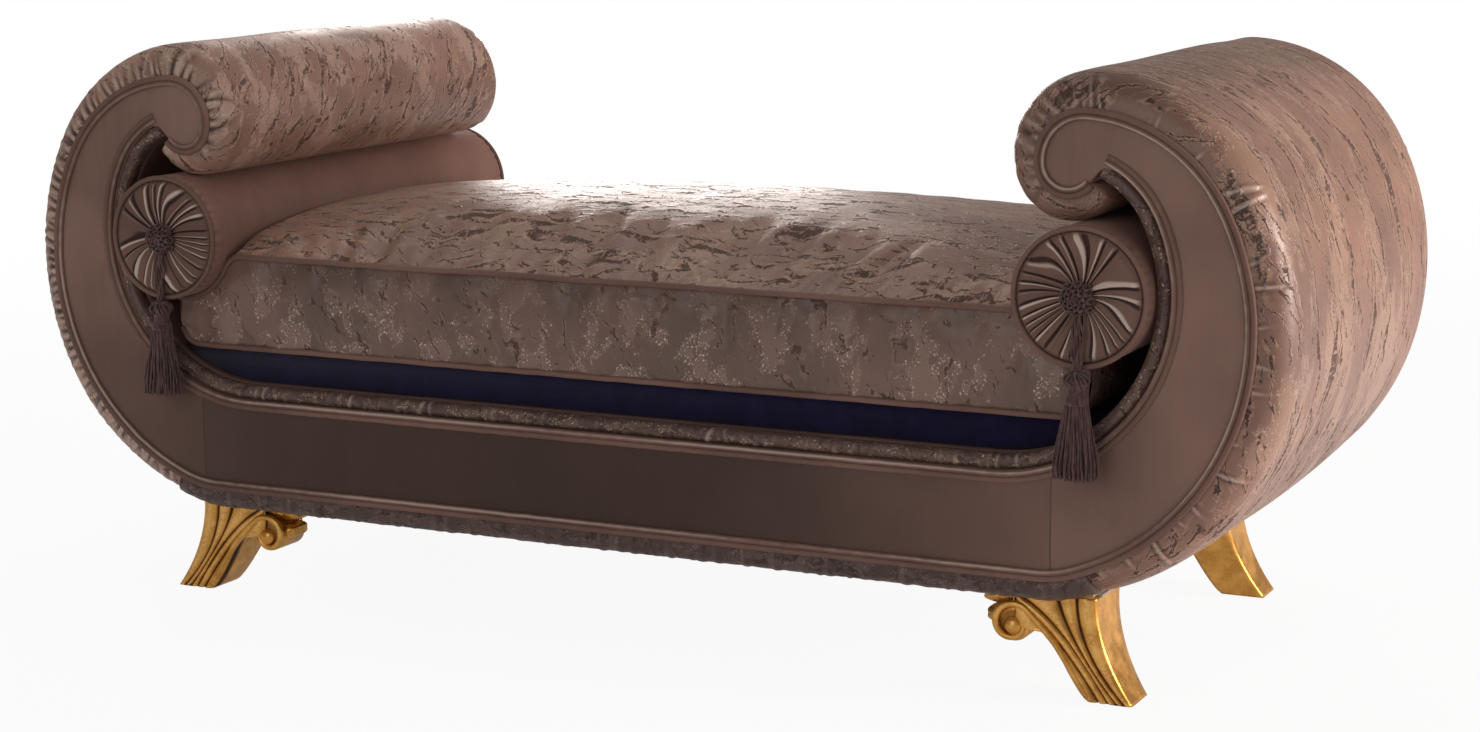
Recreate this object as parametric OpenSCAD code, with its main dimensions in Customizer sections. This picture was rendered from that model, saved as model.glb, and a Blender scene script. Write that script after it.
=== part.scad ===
// Recamier: a backless couch with two rolled scroll ends, a loose seat cushion,
// two loose bolsters with hanging tassels and four carved, gilded legs.
// X runs along the couch, the front faces -Y and Z is up from the floor.

/* [Frame] */
// Depth from the face of the front facing to the face of the rear one
depth = 741; // [560:1:900]
// Distance from the middle of the couch to the centre of each scroll
scroll_x = 563.5; // [480:0.5:700]
// Radius of the scroll's big outer curve
scroll_r = 328; // [300:1:350]
// Radius of the soft corner where the rail turns up into the scroll
corner_r = 150; // [100:1:180]
// Radius of the tighter curve over the scroll's shoulder
shoulder_r = 205; // [180:1:225]
// Radius of the rounded tip of the scroll
lobe_r = 57.5; // [50:0.5:62]
// Radius of the small curl below the tip
curl_r = 36; // [31:0.5:40]
// Radius of the neck where the inner curve runs up to the notch
neck_r = 130; // [118:1:140]
// Width of the facing at the side of the scroll
facing_side = 100; // [90:1:112]
// Height of the facing along the rail
rail_h = 130; // [112:1:150]
// Height of the facing's lower edge above the floor
facing_bottom = 173; // [158:1:200]

/* [Boards] */
// Thickness of the padded velvet facing
facing_t = 16; // [10:1:22]
// Thickness of the plywood profile boards
board_t = 22; // [18:1:28]
// Thickness of the bent plywood skins
skin_t = 4; // [3:0.5:6]
// Height of the cross rails
cross_rail_h = 40; // [30:1:48]
// Width of the cross rails
cross_rail_w = 56; // [40:1:64]
// Distance from the middle to each inner cross rail
cross_rail_x = 200; // [120:1:300]
// Height of the seat rails
seat_rail_h = 50; // [35:1:60]
// Thickness of the seat rails
seat_rail_t = 22; // [18:1:30]
// Width of a scroll batten
batten_w = 40; // [28:1:50]
// Thickness of a scroll batten
batten_t = 26; // [18:1:34]

/* [Upholstery] */
// How far the padding stands out round the scroll, at its front edge
pad_out = 49; // [38:1:56]
// How far the padding stands out under the rail and at the scroll's lower end
border_out = 36; // [28:1:42]
// How far the padding stands out where it leaves the tip
tip_out = 33; // [26:1:38]
// How far the padding stands out in the notch
notch_out = 14; // [10:1:18]
// Extra height of the padding half way along the depth
pad_crown = 7; // [0:0.5:12]
// Depth over which the padding rounds down to the facing
pad_round = 60; // [40:1:80]
// Thickness of the patterned cover with its wadding
cover_t = 4; // [3:0.5:6]
// Depth of the border under the rail
border_d = 44; // [36:1:52]
// Radius of the border's lower front corner
border_round = 20; // [12:1:26]
// Thickness of the padded velvet lining inside the scroll
lining_t = 19; // [14:1:22]
// Radius of one cord of the double welts
welt_r = 4.2; // [3:0.1:5]
// How far the gathered inner edging bulges past the facing
edging_bulge = 3; // [1:0.5:5]
// Width of a webbing strap
strap_w = 50; // [36:1:60]
// Thickness of a webbing strap
strap_t = 2; // [1.5:0.5:3]
// Thickness of the dust cover and of the platform's cloth
cloth_t = 2; // [1:0.5:3]

/* [Platform] */
// Height of the dark platform between the lining and the cushion
platform_h = 48; // [36:1:56]
// How far the platform stands back from the facings
platform_recess = 28; // [18:1:40]

/* [Cushion] */
// Height of the cushion's boxed side
boxing_h = 135; // [120:1:145]
// Rise of the cushion's crown over its top seam
crown_h = 70; // [50:1:80]
// How far the cushion stands back from the facings
cushion_recess = 8; // [4:1:16]
// Rise of the crown where it meets the bolsters
crown_end_h = 45; // [36:1:50]
// Radius over which the top rounds into the hollow under each bolster
seam_round = 28; // [24:1:36]
// How much the boxed sides draw in at their seams
drawn_in = 5; // [2:0.5:8]
// Space between the end of the cushion's underside and the lining
cushion_end_gap = 7; // [4:0.5:12]
// Radius of the cushion's piping
piping_r = 4.5; // [3:0.5:5.5]

/* [Bolsters] */
// Radius of each bolster
bolster_r = 86; // [78:0.5:90]
// How far each end of a bolster stands past the facings
bolster_out = 24; // [18:1:32]
// Space between a bolster and the padded tip above it
bolster_headroom = 7; // [5:0.5:12]
// Radius of the bolster's rim cord
rim_r = 3.5; // [2.5:0.5:4.5]
// Height of the pleats over the bolster's end
pleat_h = 7.5; // [6:0.5:9]
// Radius of the braided button
button_r = 24; // [18:0.5:28]
// Thickness of the braided button
button_t = 12; // [9:0.5:14]
// Radius of the button's shank
shank_r = 5; // [4:0.5:6]
// Space between the pleats and the tassel's loop
loop_room = 1.2; // [0.8:0.2:4]

/* [Tassels] */
// Radius of the tassel's cord
cord_r = 2.5; // [2:0.1:2.5]
// Space between the bolster's rim and the top of the tassel's head
head_drop = 2; // [2:0.5:12]
// Height of the tassel's head
head_h = 26; // [20:1:30]
// Radius of the tassel's head
head_r = 13; // [10:0.5:15]
// Height of the ruff under the head
ruff_h = 14; // [10:1:18]
// Radius of the ruff
ruff_r = 16; // [14:0.5:18]
// Length of the tassel's skirt
skirt_h = 92; // [70:1:100]
// Width of the skirt at its lower end
skirt_w = 62; // [48:1:66]
// Depth of the skirt at its lower end
skirt_d = 36; // [28:1:38]

/* [Legs] */
// Height of the legs with their glides
leg_h = 137; // [122:1:150]
// Distance from the facing to a leg's fluted face
leg_recess = 44; // [44:1:56]
// Distance from the middle to the outer top edge of each leg
leg_x = 687; // [660:1:690]
// How far the foot splays out past the leg's top
leg_splay = 50; // [36:1:56]
// Width of the foot
foot_w = 61; // [52:1:70]
// Depth of the foot
foot_d = 62; // [54:1:74]
// Depth of the leg at its top
leg_top_d = 95; // [80:1:104]
// Depth of the grooves between the flutes
flute_d = 5; // [3:0.5:7]
// Width over which the flutes fan out at the top
fan_w = 147; // [130:1:160]
// Radius of the volute
volute_r = 27; // [23:0.5:28]
// Width of the volute's spiral bead
bead_w = 6.5; // [5:0.5:8]
// Height of the volute's spiral bead
bead_h = 4; // [2:0.5:6]
// Radius of the volute's eye
eye_r = 8; // [6:0.5:9]
// Radius of the leaf that curls behind the volute
leaf_r = 12; // [9:0.5:14]
// Radius of the leaf that curls over the volute
top_leaf_r = 15; // [12:0.5:17]
// Radius of the leg bolts
bolt_r = 5; // [4:0.5:6]
// Length of a leg bolt inside the leg
bolt_in = 70; // [50:1:80]
// Thickness of the leg plates
plate_t = 3; // [2:0.5:5]
// Width of the leg plates
plate_w = 60; // [44:1:70]
// Radius of the glides under the feet
glide_r = 20; // [14:0.5:24]
// Thickness of the glides
glide_t = 3; // [2:0.5:5]

/* [Hidden] */

// Clearance of a soft piece from what it rests on
soft_gap = 0.4;
// Clearance of a bolster from the lining and the cushion
bolster_gap = 0.5;
// Clearance of the cushion's hollow round the bolster
hollow_gap = 1.5; // [0.6:0.1:2]
// Clearance of each scroll's padding inside its cover
padding_gap = 0.5; // [0.4:0.1:1]
// Running clearance of the tassel's loop on the button's shank
loop_gap = 0.3;
// How far a cut runs past the face that it opens
overrun = 1;
// Clearance of a gathered edge from the facing that it is sewn to
sewn_gap = 0.3;
// Gap between two lengths of a sewn cord
cord_gap = 0.05;
// How far each cord of a double welt lies from the middle, as a share of its radius
welt_spread_share = 0.9;

// Turn of each curve of the scroll, from where its circle leaves the rail to the notch
rail_angle = -76;
cover_angle = -68;
swell_angle = -38;
shoulder_angle = 27.2;
crest_angle = 87.3;
curl_angle = 190;
curl_end_angle = 320;
neck_angle = 25;
notch_angle = 66;

// Centres of the outer curves, each tangent to the one before
scroll_c = [scroll_x, facing_bottom - scroll_r * sin(rail_angle)];
corner_rise = scroll_c[1] - facing_bottom - corner_r;
corner_x = scroll_x + sqrt(pow(scroll_r - corner_r, 2) - pow(corner_rise, 2));
corner_c = [corner_x, facing_bottom + corner_r];
corner_angle = -atan2(corner_rise, corner_x - scroll_x);
shoulder_c = along(scroll_c, scroll_r - shoulder_r, shoulder_angle);
lobe_c = along(shoulder_c, shoulder_r - lobe_r, crest_angle);
curl_c = along(lobe_c, lobe_r - curl_r, curl_angle);

// The inner curve: a round throat that rises from the rail, then the neck
rail_top = facing_bottom + rail_h;
throat_r = scroll_r - facing_side;
throat_c = [scroll_x, rail_top + throat_r];
neck_c = along(throat_c, throat_r - neck_r, neck_angle);

// Each curve as centre, radius, first angle and last angle
outer_curves = [
    [corner_c, corner_r, -90, corner_angle],
    [scroll_c, scroll_r, corner_angle, shoulder_angle],
    [shoulder_c, shoulder_r, shoulder_angle, crest_angle],
    [lobe_c, lobe_r, crest_angle, curl_angle],
    [curl_c, curl_r, curl_angle, curl_end_angle]
];
inner_curves = [
    [neck_c, neck_r, neck_angle, notch_angle],
    [throat_c, throat_r, -90, neck_angle]
];

// Each stretch of padding as curve, first and last angle, first and last height, and easing
pad_stretches = [
    [scroll_c, scroll_r, cover_angle, swell_angle, border_out, pad_out, 0.6, 4],
    [scroll_c, scroll_r, swell_angle, shoulder_angle, pad_out, pad_out, 1, 8],
    [shoulder_c, shoulder_r, shoulder_angle, crest_angle, pad_out, pad_out, 1, 6],
    [lobe_c, lobe_r, crest_angle, curl_angle, pad_out, tip_out, 1, 5],
    [curl_c, curl_r, curl_angle, curl_end_angle, tip_out, notch_out, 2, 5]
];
inner_steps = 24;
corner_steps = 4;
// The straps across the seat, and the places of the long ones over its depth
straps = 9;
long_strap_shares = [0.25, 0.5, 0.75];
// Roundness of the padding's edge
pad_power = 2.6;
round_steps = 4;
// Places of the crown's points across the depth
crown_shares = [0.3, 0.5, 0.7];
pad_points = 2 * (round_steps + 1) + len(crown_shares);

frame_in = facing_t + board_t;
frame_d = depth - 2 * frame_in;
frame_end = depth - frame_in;
// Where the dust cover meets the lower end of the scroll's cover
dust_x = scroll_c[0] - (scroll_c[1] - facing_bottom) / tan(cover_angle);
seat_rail_top = rail_top - 2 * strap_t;
leg_block_bottom = leg_h + plate_t;
block_end_x = along(scroll_c, scroll_r, cover_angle)[0] - batten_t / 10;
lining_r = throat_r - lining_t;

// The platform and the cushion, from the lining up
platform_bottom = rail_top + lining_t;
platform_top = platform_bottom + platform_h;
cushion_bottom = platform_top + soft_gap;
cushion_seam = cushion_bottom + boxing_h;
cushion_front = cushion_recess + piping_r;
cushion_d = depth - 2 * cushion_front;

// The bolsters hang between the tip's padding, the lining and the cushion
bolster_z = curl_c[1] - curl_r - tip_out - bolster_headroom - bolster_r;
bolster_reach = lining_r - bolster_r - bolster_gap;
bolster_x = throat_c[0] + sqrt(pow(bolster_reach, 2) - pow(bolster_z - throat_c[1], 2));
bolster_c = [bolster_x, bolster_z];
bolster_l = depth + 2 * bolster_out;
pleats = 22;
// Rings of the pleated end: share of the radius and share of the height
rosette_radius_shares = [0.16, 0.38, 0.66, 0.88, 1];
rosette_height_shares = [0.35, 0.8, 1, 0.75, 0.12];
// How deep the folds cut in, ring by ring
fold_shares = [0.3, 0.34, 0.38, 0.4, 0];

// The tassel hangs from a loop round the button's shank
shank_l = pleat_h + loop_room + 2 * cord_r + loop_gap;
tassel_out = bolster_out + shank_l - cord_r - loop_gap;
button_out = bolster_out + shank_l + button_t;
head_z = bolster_z - bolster_r - head_drop;
ruff_z = head_z - head_h;
skirt_z = ruff_z - ruff_h;
strands = 20;
skirt_height_shares = [0, 0.12, 0.45, 0.8, 1];
skirt_width_shares = [0.5, 0.62, 0.74, 0.88, 1];
strand_depth_share = 0.1;

// The front reaches as far as the tassels and the rear as far as the buttons
front_reach = max(tassel_out + max(skirt_d / 2, ruff_r), button_out);
y_mid = (depth + button_out - front_reach) / 2;

// The leg's outline, and its grooves as shares of the foot and of the fan
leg_back_x = leg_x + leg_splay - foot_w;
waist_share = 0.54;
arch_share = 0.63;
volute_height_share = 0.686;
groove_foot_shares = [0.26, 0.46, 0.65, 0.82];
groove_top_shares = [1, 0.864, 0.347, 0.177];
groove_powers = [0.58, 0.58, 1.45, 2.1];
splay_power = 2;
inner_power = 0.75;
waist_in_share = 0.77;
flutes = 5;
// Least width of a flute
sliver_share = 0.01;
flute_steps = 4;
leg_row_shares = [0, 0.08, 0.18, 0.3, 0.42, 0.52, 0.58, 0.62, 0.64, 0.74, 0.84, 0.92, 1];
volute_place_share = 0.762;
volute_c = [leg_x - volute_place_share * fan_w, volute_height_share * leg_h];
volute_rim = 1.2;
eye_share = 0.8;
// How far the leg's inner side lies past the middle of the volute
volute_tuck = 1.7;
// Where the top leaf sits against the volute
leaf_spread_share = 0.79;
leaf_angle = 134;
spiral_turn = 430;
spiral_start = 55;
spiral_steps = 30;
nut_share = 1.6;
bolt_x = leg_x - volute_r;
bolt_y = leg_recess + leg_top_d / 2;
glide_x = leg_x + leg_splay - foot_w / 2;
glide_y = leg_recess + foot_d / 2;

// Colours
velvet = "#6d564e";
patterned = "#9a7c70";
dark_cloth = "#241c28";
dark_braid = "#3b2827";
gilt = "#b8863c";
timber = "#b99868";
ply = "#c9ab7c";
steel = "#8d9094";
foam = "#d8cdb4";

$fn = 48;

// The point at a distance and angle from another
function along(c, r, a) = [c[0] + r * cos(a), c[1] + r * sin(a)];

// Points of one curve, grown by a distance from its centre
function curve_points(c, grow, steps) =
    [for (i = [0:steps]) along(c[0], c[1] + grow, c[2] + (c[3] - c[2]) * i / steps)];

function reversed(points) = [for (i = [len(points) - 1:-1:0]) points[i]];
function flipped(points) = [for (p = points) [-p[0], p[1]]];

// The scroll's outer edge from the rail to the notch, and the inner edge back down
function outer_points(grow) =
    concat(curve_points(outer_curves[0], grow, corner_steps), skin_points(grow));
function skin_points(grow) = [for (s = pad_stations) along(s[0], s[1] + grow, s[2])];
function inner_points(grow) =
    [for (c = inner_curves, p = reversed(curve_points(c, grow, inner_steps))) p];
function ring_points(outer, inner) = concat(outer, reversed(inner));

// The whole facing, right half and then left half
function facing_points() =
    let (right = concat(outer_points(0), inner_points(0)))
    concat(right, reversed(flipped(right)));

// Triangles round a row of rings that each have the same number of points
function side_faces(rings, n) = [
    for (i = [0:rings - 2], j = [0:n - 1], k = [0:1])
    let (a = i * n + j, b = i * n + (j + 1) % n, c = b + n, d = a + n)
    k == 0 ? [a, c, b] : [a, d, c]
];
// Triangles over an end whose points go out along one run and back along another
function strip_faces(n) = [
    for (j = [0:n / 2 - 2], k = [0:1])
    let (c = n - 2 - j)
    k == 0 ? [j, j + 1, c] : [j, c, c + 1]
];
// Triangles over a convex end
function fan_faces(n) = [for (j = [1:n - 2]) [0, j, j + 1]];

// A closed solid through rings, whose two ends are covered by the same triangles
module loft(rings, end_faces) {
    n = len(rings[0]);
    last = (len(rings) - 1) * n;
    polyhedron(
        points = [for (r = rings, p = r) p],
        faces = concat(
            side_faces(len(rings), n),
            end_faces,
            [for (f = end_faces) [last + f[0], last + f[2], last + f[1]]]
        )
    );
}

// Everything is drawn with the front facing at y = 0, then centred over the footprint
module placed() translate([0, -y_mid, 0]) children();
module at_left() mirror([1, 0, 0]) children();
module both_sides() {
    children();
    at_left() children();
}
module at_rear() translate([0, depth, 0]) mirror([0, 1, 0]) children();
module front_and_rear() {
    children();
    at_rear() children();
}

// A slab of an XZ outline between two depths
module slab(y, t) translate([0, y + t, 0]) rotate([90, 0, 0]) linear_extrude(t) children();

// A section swept round one curve: its x is outwards from the centre, its y is forwards.
// A cord is sewn on in lengths, whose ends leave a small gap.
module swept_curve(curve, from, to, gap = 0) {
    gap_angle = gap / curve[1] * 180 / PI;
    translate([curve[0][0], 0, curve[0][1]])
        rotate([90, 0, 0])
        rotate([0, 0, from + gap_angle])
        rotate_extrude(angle = to - from - gap_angle)
        translate([curve[1], 0])
        children();
}

// The same section along a level run: its x is downwards
module swept_run(half_l, z)
    translate([half_l, 0, z])
    rotate([0, 90, 180])
    linear_extrude(2 * half_l)
    children();

module swept_outer(gap = 0) {
    swept_run(corner_x, facing_bottom) children();
    both_sides() for (c = outer_curves) swept_curve(c, c[2], c[3], gap) children();
}
module swept_inner(gap = 0) {
    swept_run(scroll_x, rail_top) children();
    both_sides() for (c = inner_curves) swept_curve(c, c[2], c[3], gap) children();
}

// Two cords side by side, flat where they lie on the facing
module double_welt() difference() {
    for (side = [-1, 1]) translate([side * welt_r * welt_spread_share, welt_r / 2]) circle(welt_r);
    translate([-3 * welt_r, -3 * welt_r]) square([6 * welt_r, 3 * welt_r]);
}
module flat_cord(r) difference() {
    translate([0, r / 2]) circle(r);
    translate([-2 * r, -2 * r]) square([4 * r, 2 * r]);
}

module profile_board() color(ply) slab(facing_t, board_t) polygon(facing_points());

module cross_rails() color(timber) placed()
    for (x = [-scroll_x - cross_rail_w, -cross_rail_x - cross_rail_w, cross_rail_x, scroll_x])
    translate([x, frame_in, facing_bottom]) cube([cross_rail_w, frame_d, cross_rail_h]);

module seat_rail() color(timber)
    translate([-scroll_x, frame_in, seat_rail_top - seat_rail_h])
    cube([2 * scroll_x, seat_rail_t, seat_rail_h]);

module leg_blocks() color(timber) placed() both_sides() front_and_rear() difference() {
    translate([scroll_x, leg_recess, leg_block_bottom])
        cube([block_end_x - scroll_x, leg_top_d, facing_bottom - leg_block_bottom]);
    translate([bolt_x, bolt_y, leg_h]) cylinder(r = bolt_r, h = facing_bottom - leg_h + overrun);
}

// Battens run from board to board inside the scroll
module scroll_battens() color(timber) {
    middle_r = throat_r + facing_side / 2;
    for (a = [-55, -20, 15])
        let (c = along([scroll_x, (scroll_c[1] + throat_c[1]) / 2], middle_r, a))
        translate([c[0], frame_in, c[1]])
        rotate([0, -a, 0])
        translate([-batten_t / 2, 0, -batten_w / 2])
        cube([batten_t, frame_d, batten_w]);
    tip = along(lobe_c, lobe_r / 2, (crest_angle + curl_angle) / 2);
    translate([tip[0] - batten_w / 2, frame_in, tip[1] - batten_t / 2])
        cube([batten_w, frame_d, batten_t]);
}

// Bent plywood round the outside of the scroll, between the boards
module scroll_skin() color(ply)
    slab(frame_in, frame_d) polygon(ring_points(skin_points(0), skin_points(-skin_t)));

// Bent plywood behind the lining of the throat
module throat_skin() color(ply)
    slab(frame_in, frame_d) polygon(ring_points(inner_points(skin_t), inner_points(0)));

module webbing() color("tan") placed() {
    pitch = 2 * scroll_x / straps;
    for (i = [0:straps - 1])
        translate([(i + 0.5) * pitch - scroll_x - strap_w / 2, frame_in, seat_rail_top])
        cube([strap_w, frame_d, strap_t]);
    for (share = long_strap_shares)
        translate([-scroll_x, frame_in + share * frame_d - strap_w / 2, seat_rail_top + strap_t])
        cube([2 * scroll_x, strap_w, strap_t]);
}

module deck_pad() color(foam) placed()
    translate([-scroll_x, facing_t, rail_top])
    cube([2 * scroll_x, depth - 2 * facing_t, lining_t]);

module dust_cover() color(dark_cloth) placed()
    translate([0, 0, facing_bottom - cloth_t]) linear_extrude(cloth_t) {
        translate([-scroll_x, border_d]) square([2 * scroll_x, depth - 2 * border_d]);
        translate([-dust_x, leg_recess + leg_top_d])
            square([2 * dust_x, depth - 2 * (leg_recess + leg_top_d)]);
    }

// The padding's rounded section at one place: height over the skin and depth
function pad_section(out, inset) =
    let (
        reach = out - inset,
        edge = pad_round - inset,
        front = [for (i = [0:round_steps]) let (a = 90 * i / round_steps)
            [reach * pow(sin(a), 2 / pad_power), inset + edge * (1 - pow(cos(a), 2 / pad_power))]],
        middle = [for (s = crown_shares) [reach, s * depth]],
        rear = [for (i = [round_steps:-1:0]) [front[i][0], depth - front[i][1]]]
    )
    [for (p = concat(front, middle, rear))
        [p[0] + pad_crown * p[0] / reach * (1 - pow(2 * p[1] / depth - 1, 2)), p[1]]];

// Places along the padding, as centre, radius, angle and height
pad_stations = [
    for (k = [0:len(pad_stretches) - 1], i = [k == 0 ? 0 : 1:pad_stretches[k][7]])
    let (s = pad_stretches[k], t = i / s[7])
    [s[0], s[1], s[2] + (s[3] - s[2]) * t, s[4] + (s[5] - s[4]) * pow(t, s[6])]
];
function pad_ring(station, section) = [
    for (p = section)
    let (at = along(station[0], station[1] + p[0], station[2]))
    [at[0], p[1], at[1]]
];

module scroll_padding() color(foam)
    loft([for (s = pad_stations) pad_ring(s, pad_section(s[3], cover_t + padding_gap))], fan_faces(pad_points));

module scroll_cover() color(patterned)
    loft([for (s = pad_stations) pad_ring(s, concat(
        pad_section(s[3], 0),
        reversed(pad_section(s[3], cover_t))
    ))], strip_faces(2 * pad_points));

module throat_lining() color(velvet)
    slab(facing_t, depth - 2 * facing_t)
    polygon(ring_points(inner_points(0), inner_points(-lining_t)));

module facing() color(velvet) slab(0, facing_t) polygon(facing_points());
module outer_welt() color(velvet) swept_outer(cord_gap) double_welt();
module inner_welt() color(velvet) swept_inner(cord_gap) translate([2 * welt_r, 0]) double_welt();

// A gathered roll along the inner edge, level with the facing
module inner_edging() color(patterned) swept_inner() {
    edging_w = lining_t - sewn_gap;
    translate([-lining_t, -facing_t]) square([edging_w, facing_t - edging_w / 2 + edging_bulge]);
    translate([edging_w / 2 - lining_t, edging_bulge - edging_w / 2]) circle(edging_w / 2);
}

// The padded border under the rail, with a rounded lower front corner
module border_section() intersection() {
    translate([sewn_gap, -border_d]) square([border_out - sewn_gap, border_d]);
    union() {
        translate([0, -border_d]) square([border_out, border_d - border_round]);
        translate([0, -border_d]) square([border_out - border_round, border_d]);
        translate([border_out - border_round, -border_round]) circle(border_round);
    }
}
module base_border() color(patterned) {
    swept_run(corner_x, facing_bottom) border_section();
    both_sides() {
        swept_curve(outer_curves[0], -90, corner_angle) border_section();
        swept_curve(outer_curves[1], corner_angle, cover_angle) border_section();
    }
}

// The platform fills the foot of the throat
function platform_points(inset) =
    let (
        r = lining_r - soft_gap - inset,
        rise = throat_c[1] - platform_top + inset,
        low = asin((throat_c[1] - platform_bottom - soft_gap - inset) / r),
        high = asin(rise / r),
        right = [for (i = [0:8]) along(throat_c, r, -low + (low - high) * i / 8)]
    )
    concat(right, reversed(flipped(right)));
module platform_outer()
    slab(platform_recess, depth - 2 * platform_recess) polygon(platform_points(0));
module platform_core() color(foam) placed()
    slab(platform_recess + cloth_t, depth - 2 * (platform_recess + cloth_t))
    polygon(platform_points(cloth_t));
module platform_cover() color(dark_cloth) placed() difference() {
    platform_outer();
    slab(platform_recess + cloth_t, depth - 2 * (platform_recess + cloth_t))
        polygon(platform_points(cloth_t));
}

// The cushion: its crown fades towards the seams, and its ends are hollowed by the bolsters
cushion_end_x = throat_c[0] - cushion_end_gap
    + sqrt(pow(lining_r, 2) - pow(throat_c[1] - cushion_bottom, 2));
hollow_r = bolster_r + hollow_gap;
top_shares = [0, 0.28, 0.52, 0.73, 0.89];
round_points = 3;
hollow_points = 5;
cushion_shares = [0, 0.012, 0.07, 0.18, 0.32, 0.5];
cushion_depths = concat(
    cushion_shares,
    [for (i = [len(cushion_shares) - 2:-1:0]) 1 - cushion_shares[i]]
);
cushion_columns = len(top_shares) + round_points + 1 + hollow_points + 1;
// How the crown falls away towards the front and rear, and towards the ends
depth_power = 2.4;
edge_power = 0.7;
length_power = 2.5;
function crown_at(share) = pow(1 - pow(abs(2 * share - 1), depth_power), edge_power);

// Where the cushion's top rounds over into the hollow under the bolster: the rounding's
// centre and the angle at which it meets the hollow
function shoulder_of(top_z, r, bend) =
    let (
        z = top_z - bend,
        x = bolster_x - sqrt(pow(r + bend, 2) - pow(z - bolster_z, 2))
    )
    [[x, z], atan2(bolster_z - z, bolster_x - x)];

function cushion_ring(share) =
    let (
        f = crown_at(share),
        draw = (share == 0 || share == 1) ? drawn_in : 0,
        y = cushion_front + share * cushion_d,
        r = hollow_r + draw,
        edge_z = cushion_seam - draw + crown_end_h * f,
        peak = cushion_seam - draw + crown_h * f,
        bend = seam_round - draw,
        shoulder = shoulder_of(edge_z, r, bend),
        over = curve_points([shoulder[0], bend, 90, shoulder[1]], 0, round_points),
        turn = 90 - shoulder[1],
        wide = r / cos(turn / (2 * hollow_points)),
        hollow = curve_points([bolster_c, wide, shoulder[1] - 180, -90], 0, hollow_points),
        top = [for (s = top_shares) [s * over[0][0], edge_z + (peak - edge_z) * (1 - pow(s, length_power))]],
        tip = [cushion_end_x + 2 * cushion_end_gap - draw, bolster_z - hollow_r - draw],
        right = concat(top, over, [for (i = [1:hollow_points]) hollow[i]], [tip]),
        low = [for (i = [0:cushion_columns - 2])
            [(cushion_end_x - draw) * i / (cushion_columns - 2), cushion_bottom + draw]]
    )
    [for (p = concat(
        reversed(flipped(right)), [for (i = [1:len(right) - 1]) right[i]],
        reversed(low), [for (i = [1:len(low) - 1]) flipped(low)[i]]
    )) [p[0], y, p[1]]];
module seat_cushion() color(patterned) placed()
    loft([for (s = cushion_depths) cushion_ring(s)], strip_faces(len(cushion_ring(0))));

// The piping lies on the boxing, along its seams
module cushion_seam_cord() translate([0, cushion_front, 0]) {
    cord_path_r = hollow_r + drawn_in + piping_r;
    cord_z = cushion_seam - drawn_in - piping_r;
    bend = seam_round - drawn_in - piping_r;
    shoulder = shoulder_of(cord_z, cord_path_r, bend);
    swept_run(shoulder[0][0] - cord_gap, cord_z) flat_cord(piping_r);
    both_sides() {
        swept_curve([shoulder[0], bend], shoulder[1], 90, cord_gap) flat_cord(piping_r);
        swept_curve([bolster_c, cord_path_r], shoulder[1] - 180, -90, cord_gap) flat_cord(piping_r);
    }
}
module cushion_top_piping() color(velvet) placed() front_and_rear() cushion_seam_cord();
module cushion_bottom_piping() color(velvet) placed() front_and_rear()
    translate([0, cushion_front, 0])
    swept_run(cushion_end_x - drawn_in, cushion_bottom + drawn_in)
    translate([-piping_r, 0])
    flat_cord(piping_r);

// Turned pieces about the bolster's axis: x is the radius, y is forwards from the facing
module about_bolster(forward)
    translate([bolster_x, -forward, bolster_z]) rotate([90, 0, 0]) children();
module bolster() color(velvet)
    translate([bolster_x, -bolster_out, bolster_z])
    rotate([-90, 0, 0])
    cylinder(r = bolster_r, h = bolster_l);
module bolster_rims() color(velvet) front_and_rear()
    about_bolster(bolster_out)
    rotate_extrude()
    translate([bolster_r - rim_r, 0])
    flat_cord(rim_r);

// Pleats drawn from the rim in to the button, over a flat back
module rosette() color(velvet) about_bolster(bolster_out) {
    reach = bolster_r - 2 * rim_r - soft_gap;
    n = 2 * pleats;
    rings = concat(
        [[for (j = [0:n - 1]) let (a = 360 * j / n) [reach * cos(a), reach * sin(a), 0]]],
        [for (k = [len(rosette_radius_shares) - 1:-1:0]) [for (j = [0:n - 1])
            let (
                a = 360 * j / n,
                r = reach * rosette_radius_shares[k],
                fold = j % 2 == 0 ? 1 : 1 - fold_shares[k]
            )
            [r * cos(a), r * sin(a), pleat_h * rosette_height_shares[k] * fold]]]
    );
    loft(rings, fan_faces(n));
}

module button() color(dark_braid) about_bolster(bolster_out) {
    translate([0, 0, pleat_h * rosette_height_shares[0]])
        cylinder(r = shank_r, h = shank_l - pleat_h * rosette_height_shares[0]);
    translate([0, 0, shank_l]) intersection() {
        cylinder(r = button_r, h = button_t);
        translate([0, 0, button_t - dome_r]) sphere(dome_r);
    }
}
// The dome's radius from the button's height over its rim
dome_share = 0.75;
dome_h = button_t * dome_share;
dome_r = (pow(button_r, 2) + pow(dome_h, 2)) / (2 * dome_h);

// A loop round the shank, with the cord hanging from it
module tassel_cord() color(dark_braid) {
    loop_r = shank_r + loop_gap + cord_r;
    about_bolster(tassel_out) rotate_extrude() translate([loop_r, 0]) circle(cord_r);
    difference() {
        translate([bolster_x, -tassel_out, head_z])
            cylinder(r = cord_r, h = bolster_z - loop_r - head_z);
        about_bolster(tassel_out) cylinder(r = loop_r, h = cord_r, center = true);
    }
}

module tassel_head() color(dark_braid) translate([bolster_x, -tassel_out, 0]) {
    translate([0, 0, ruff_z]) rotate_extrude() intersection() {
        scale([head_r, head_h / 2]) translate([0, 1]) circle(1);
        square([head_r, head_h]);
    }
    translate([0, 0, skirt_z]) rotate_extrude() difference() {
        square([ruff_r, ruff_h]);
        translate([ruff_r + ruff_h / 4, ruff_h / 2]) circle(ruff_h / 3);
    }
}

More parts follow.
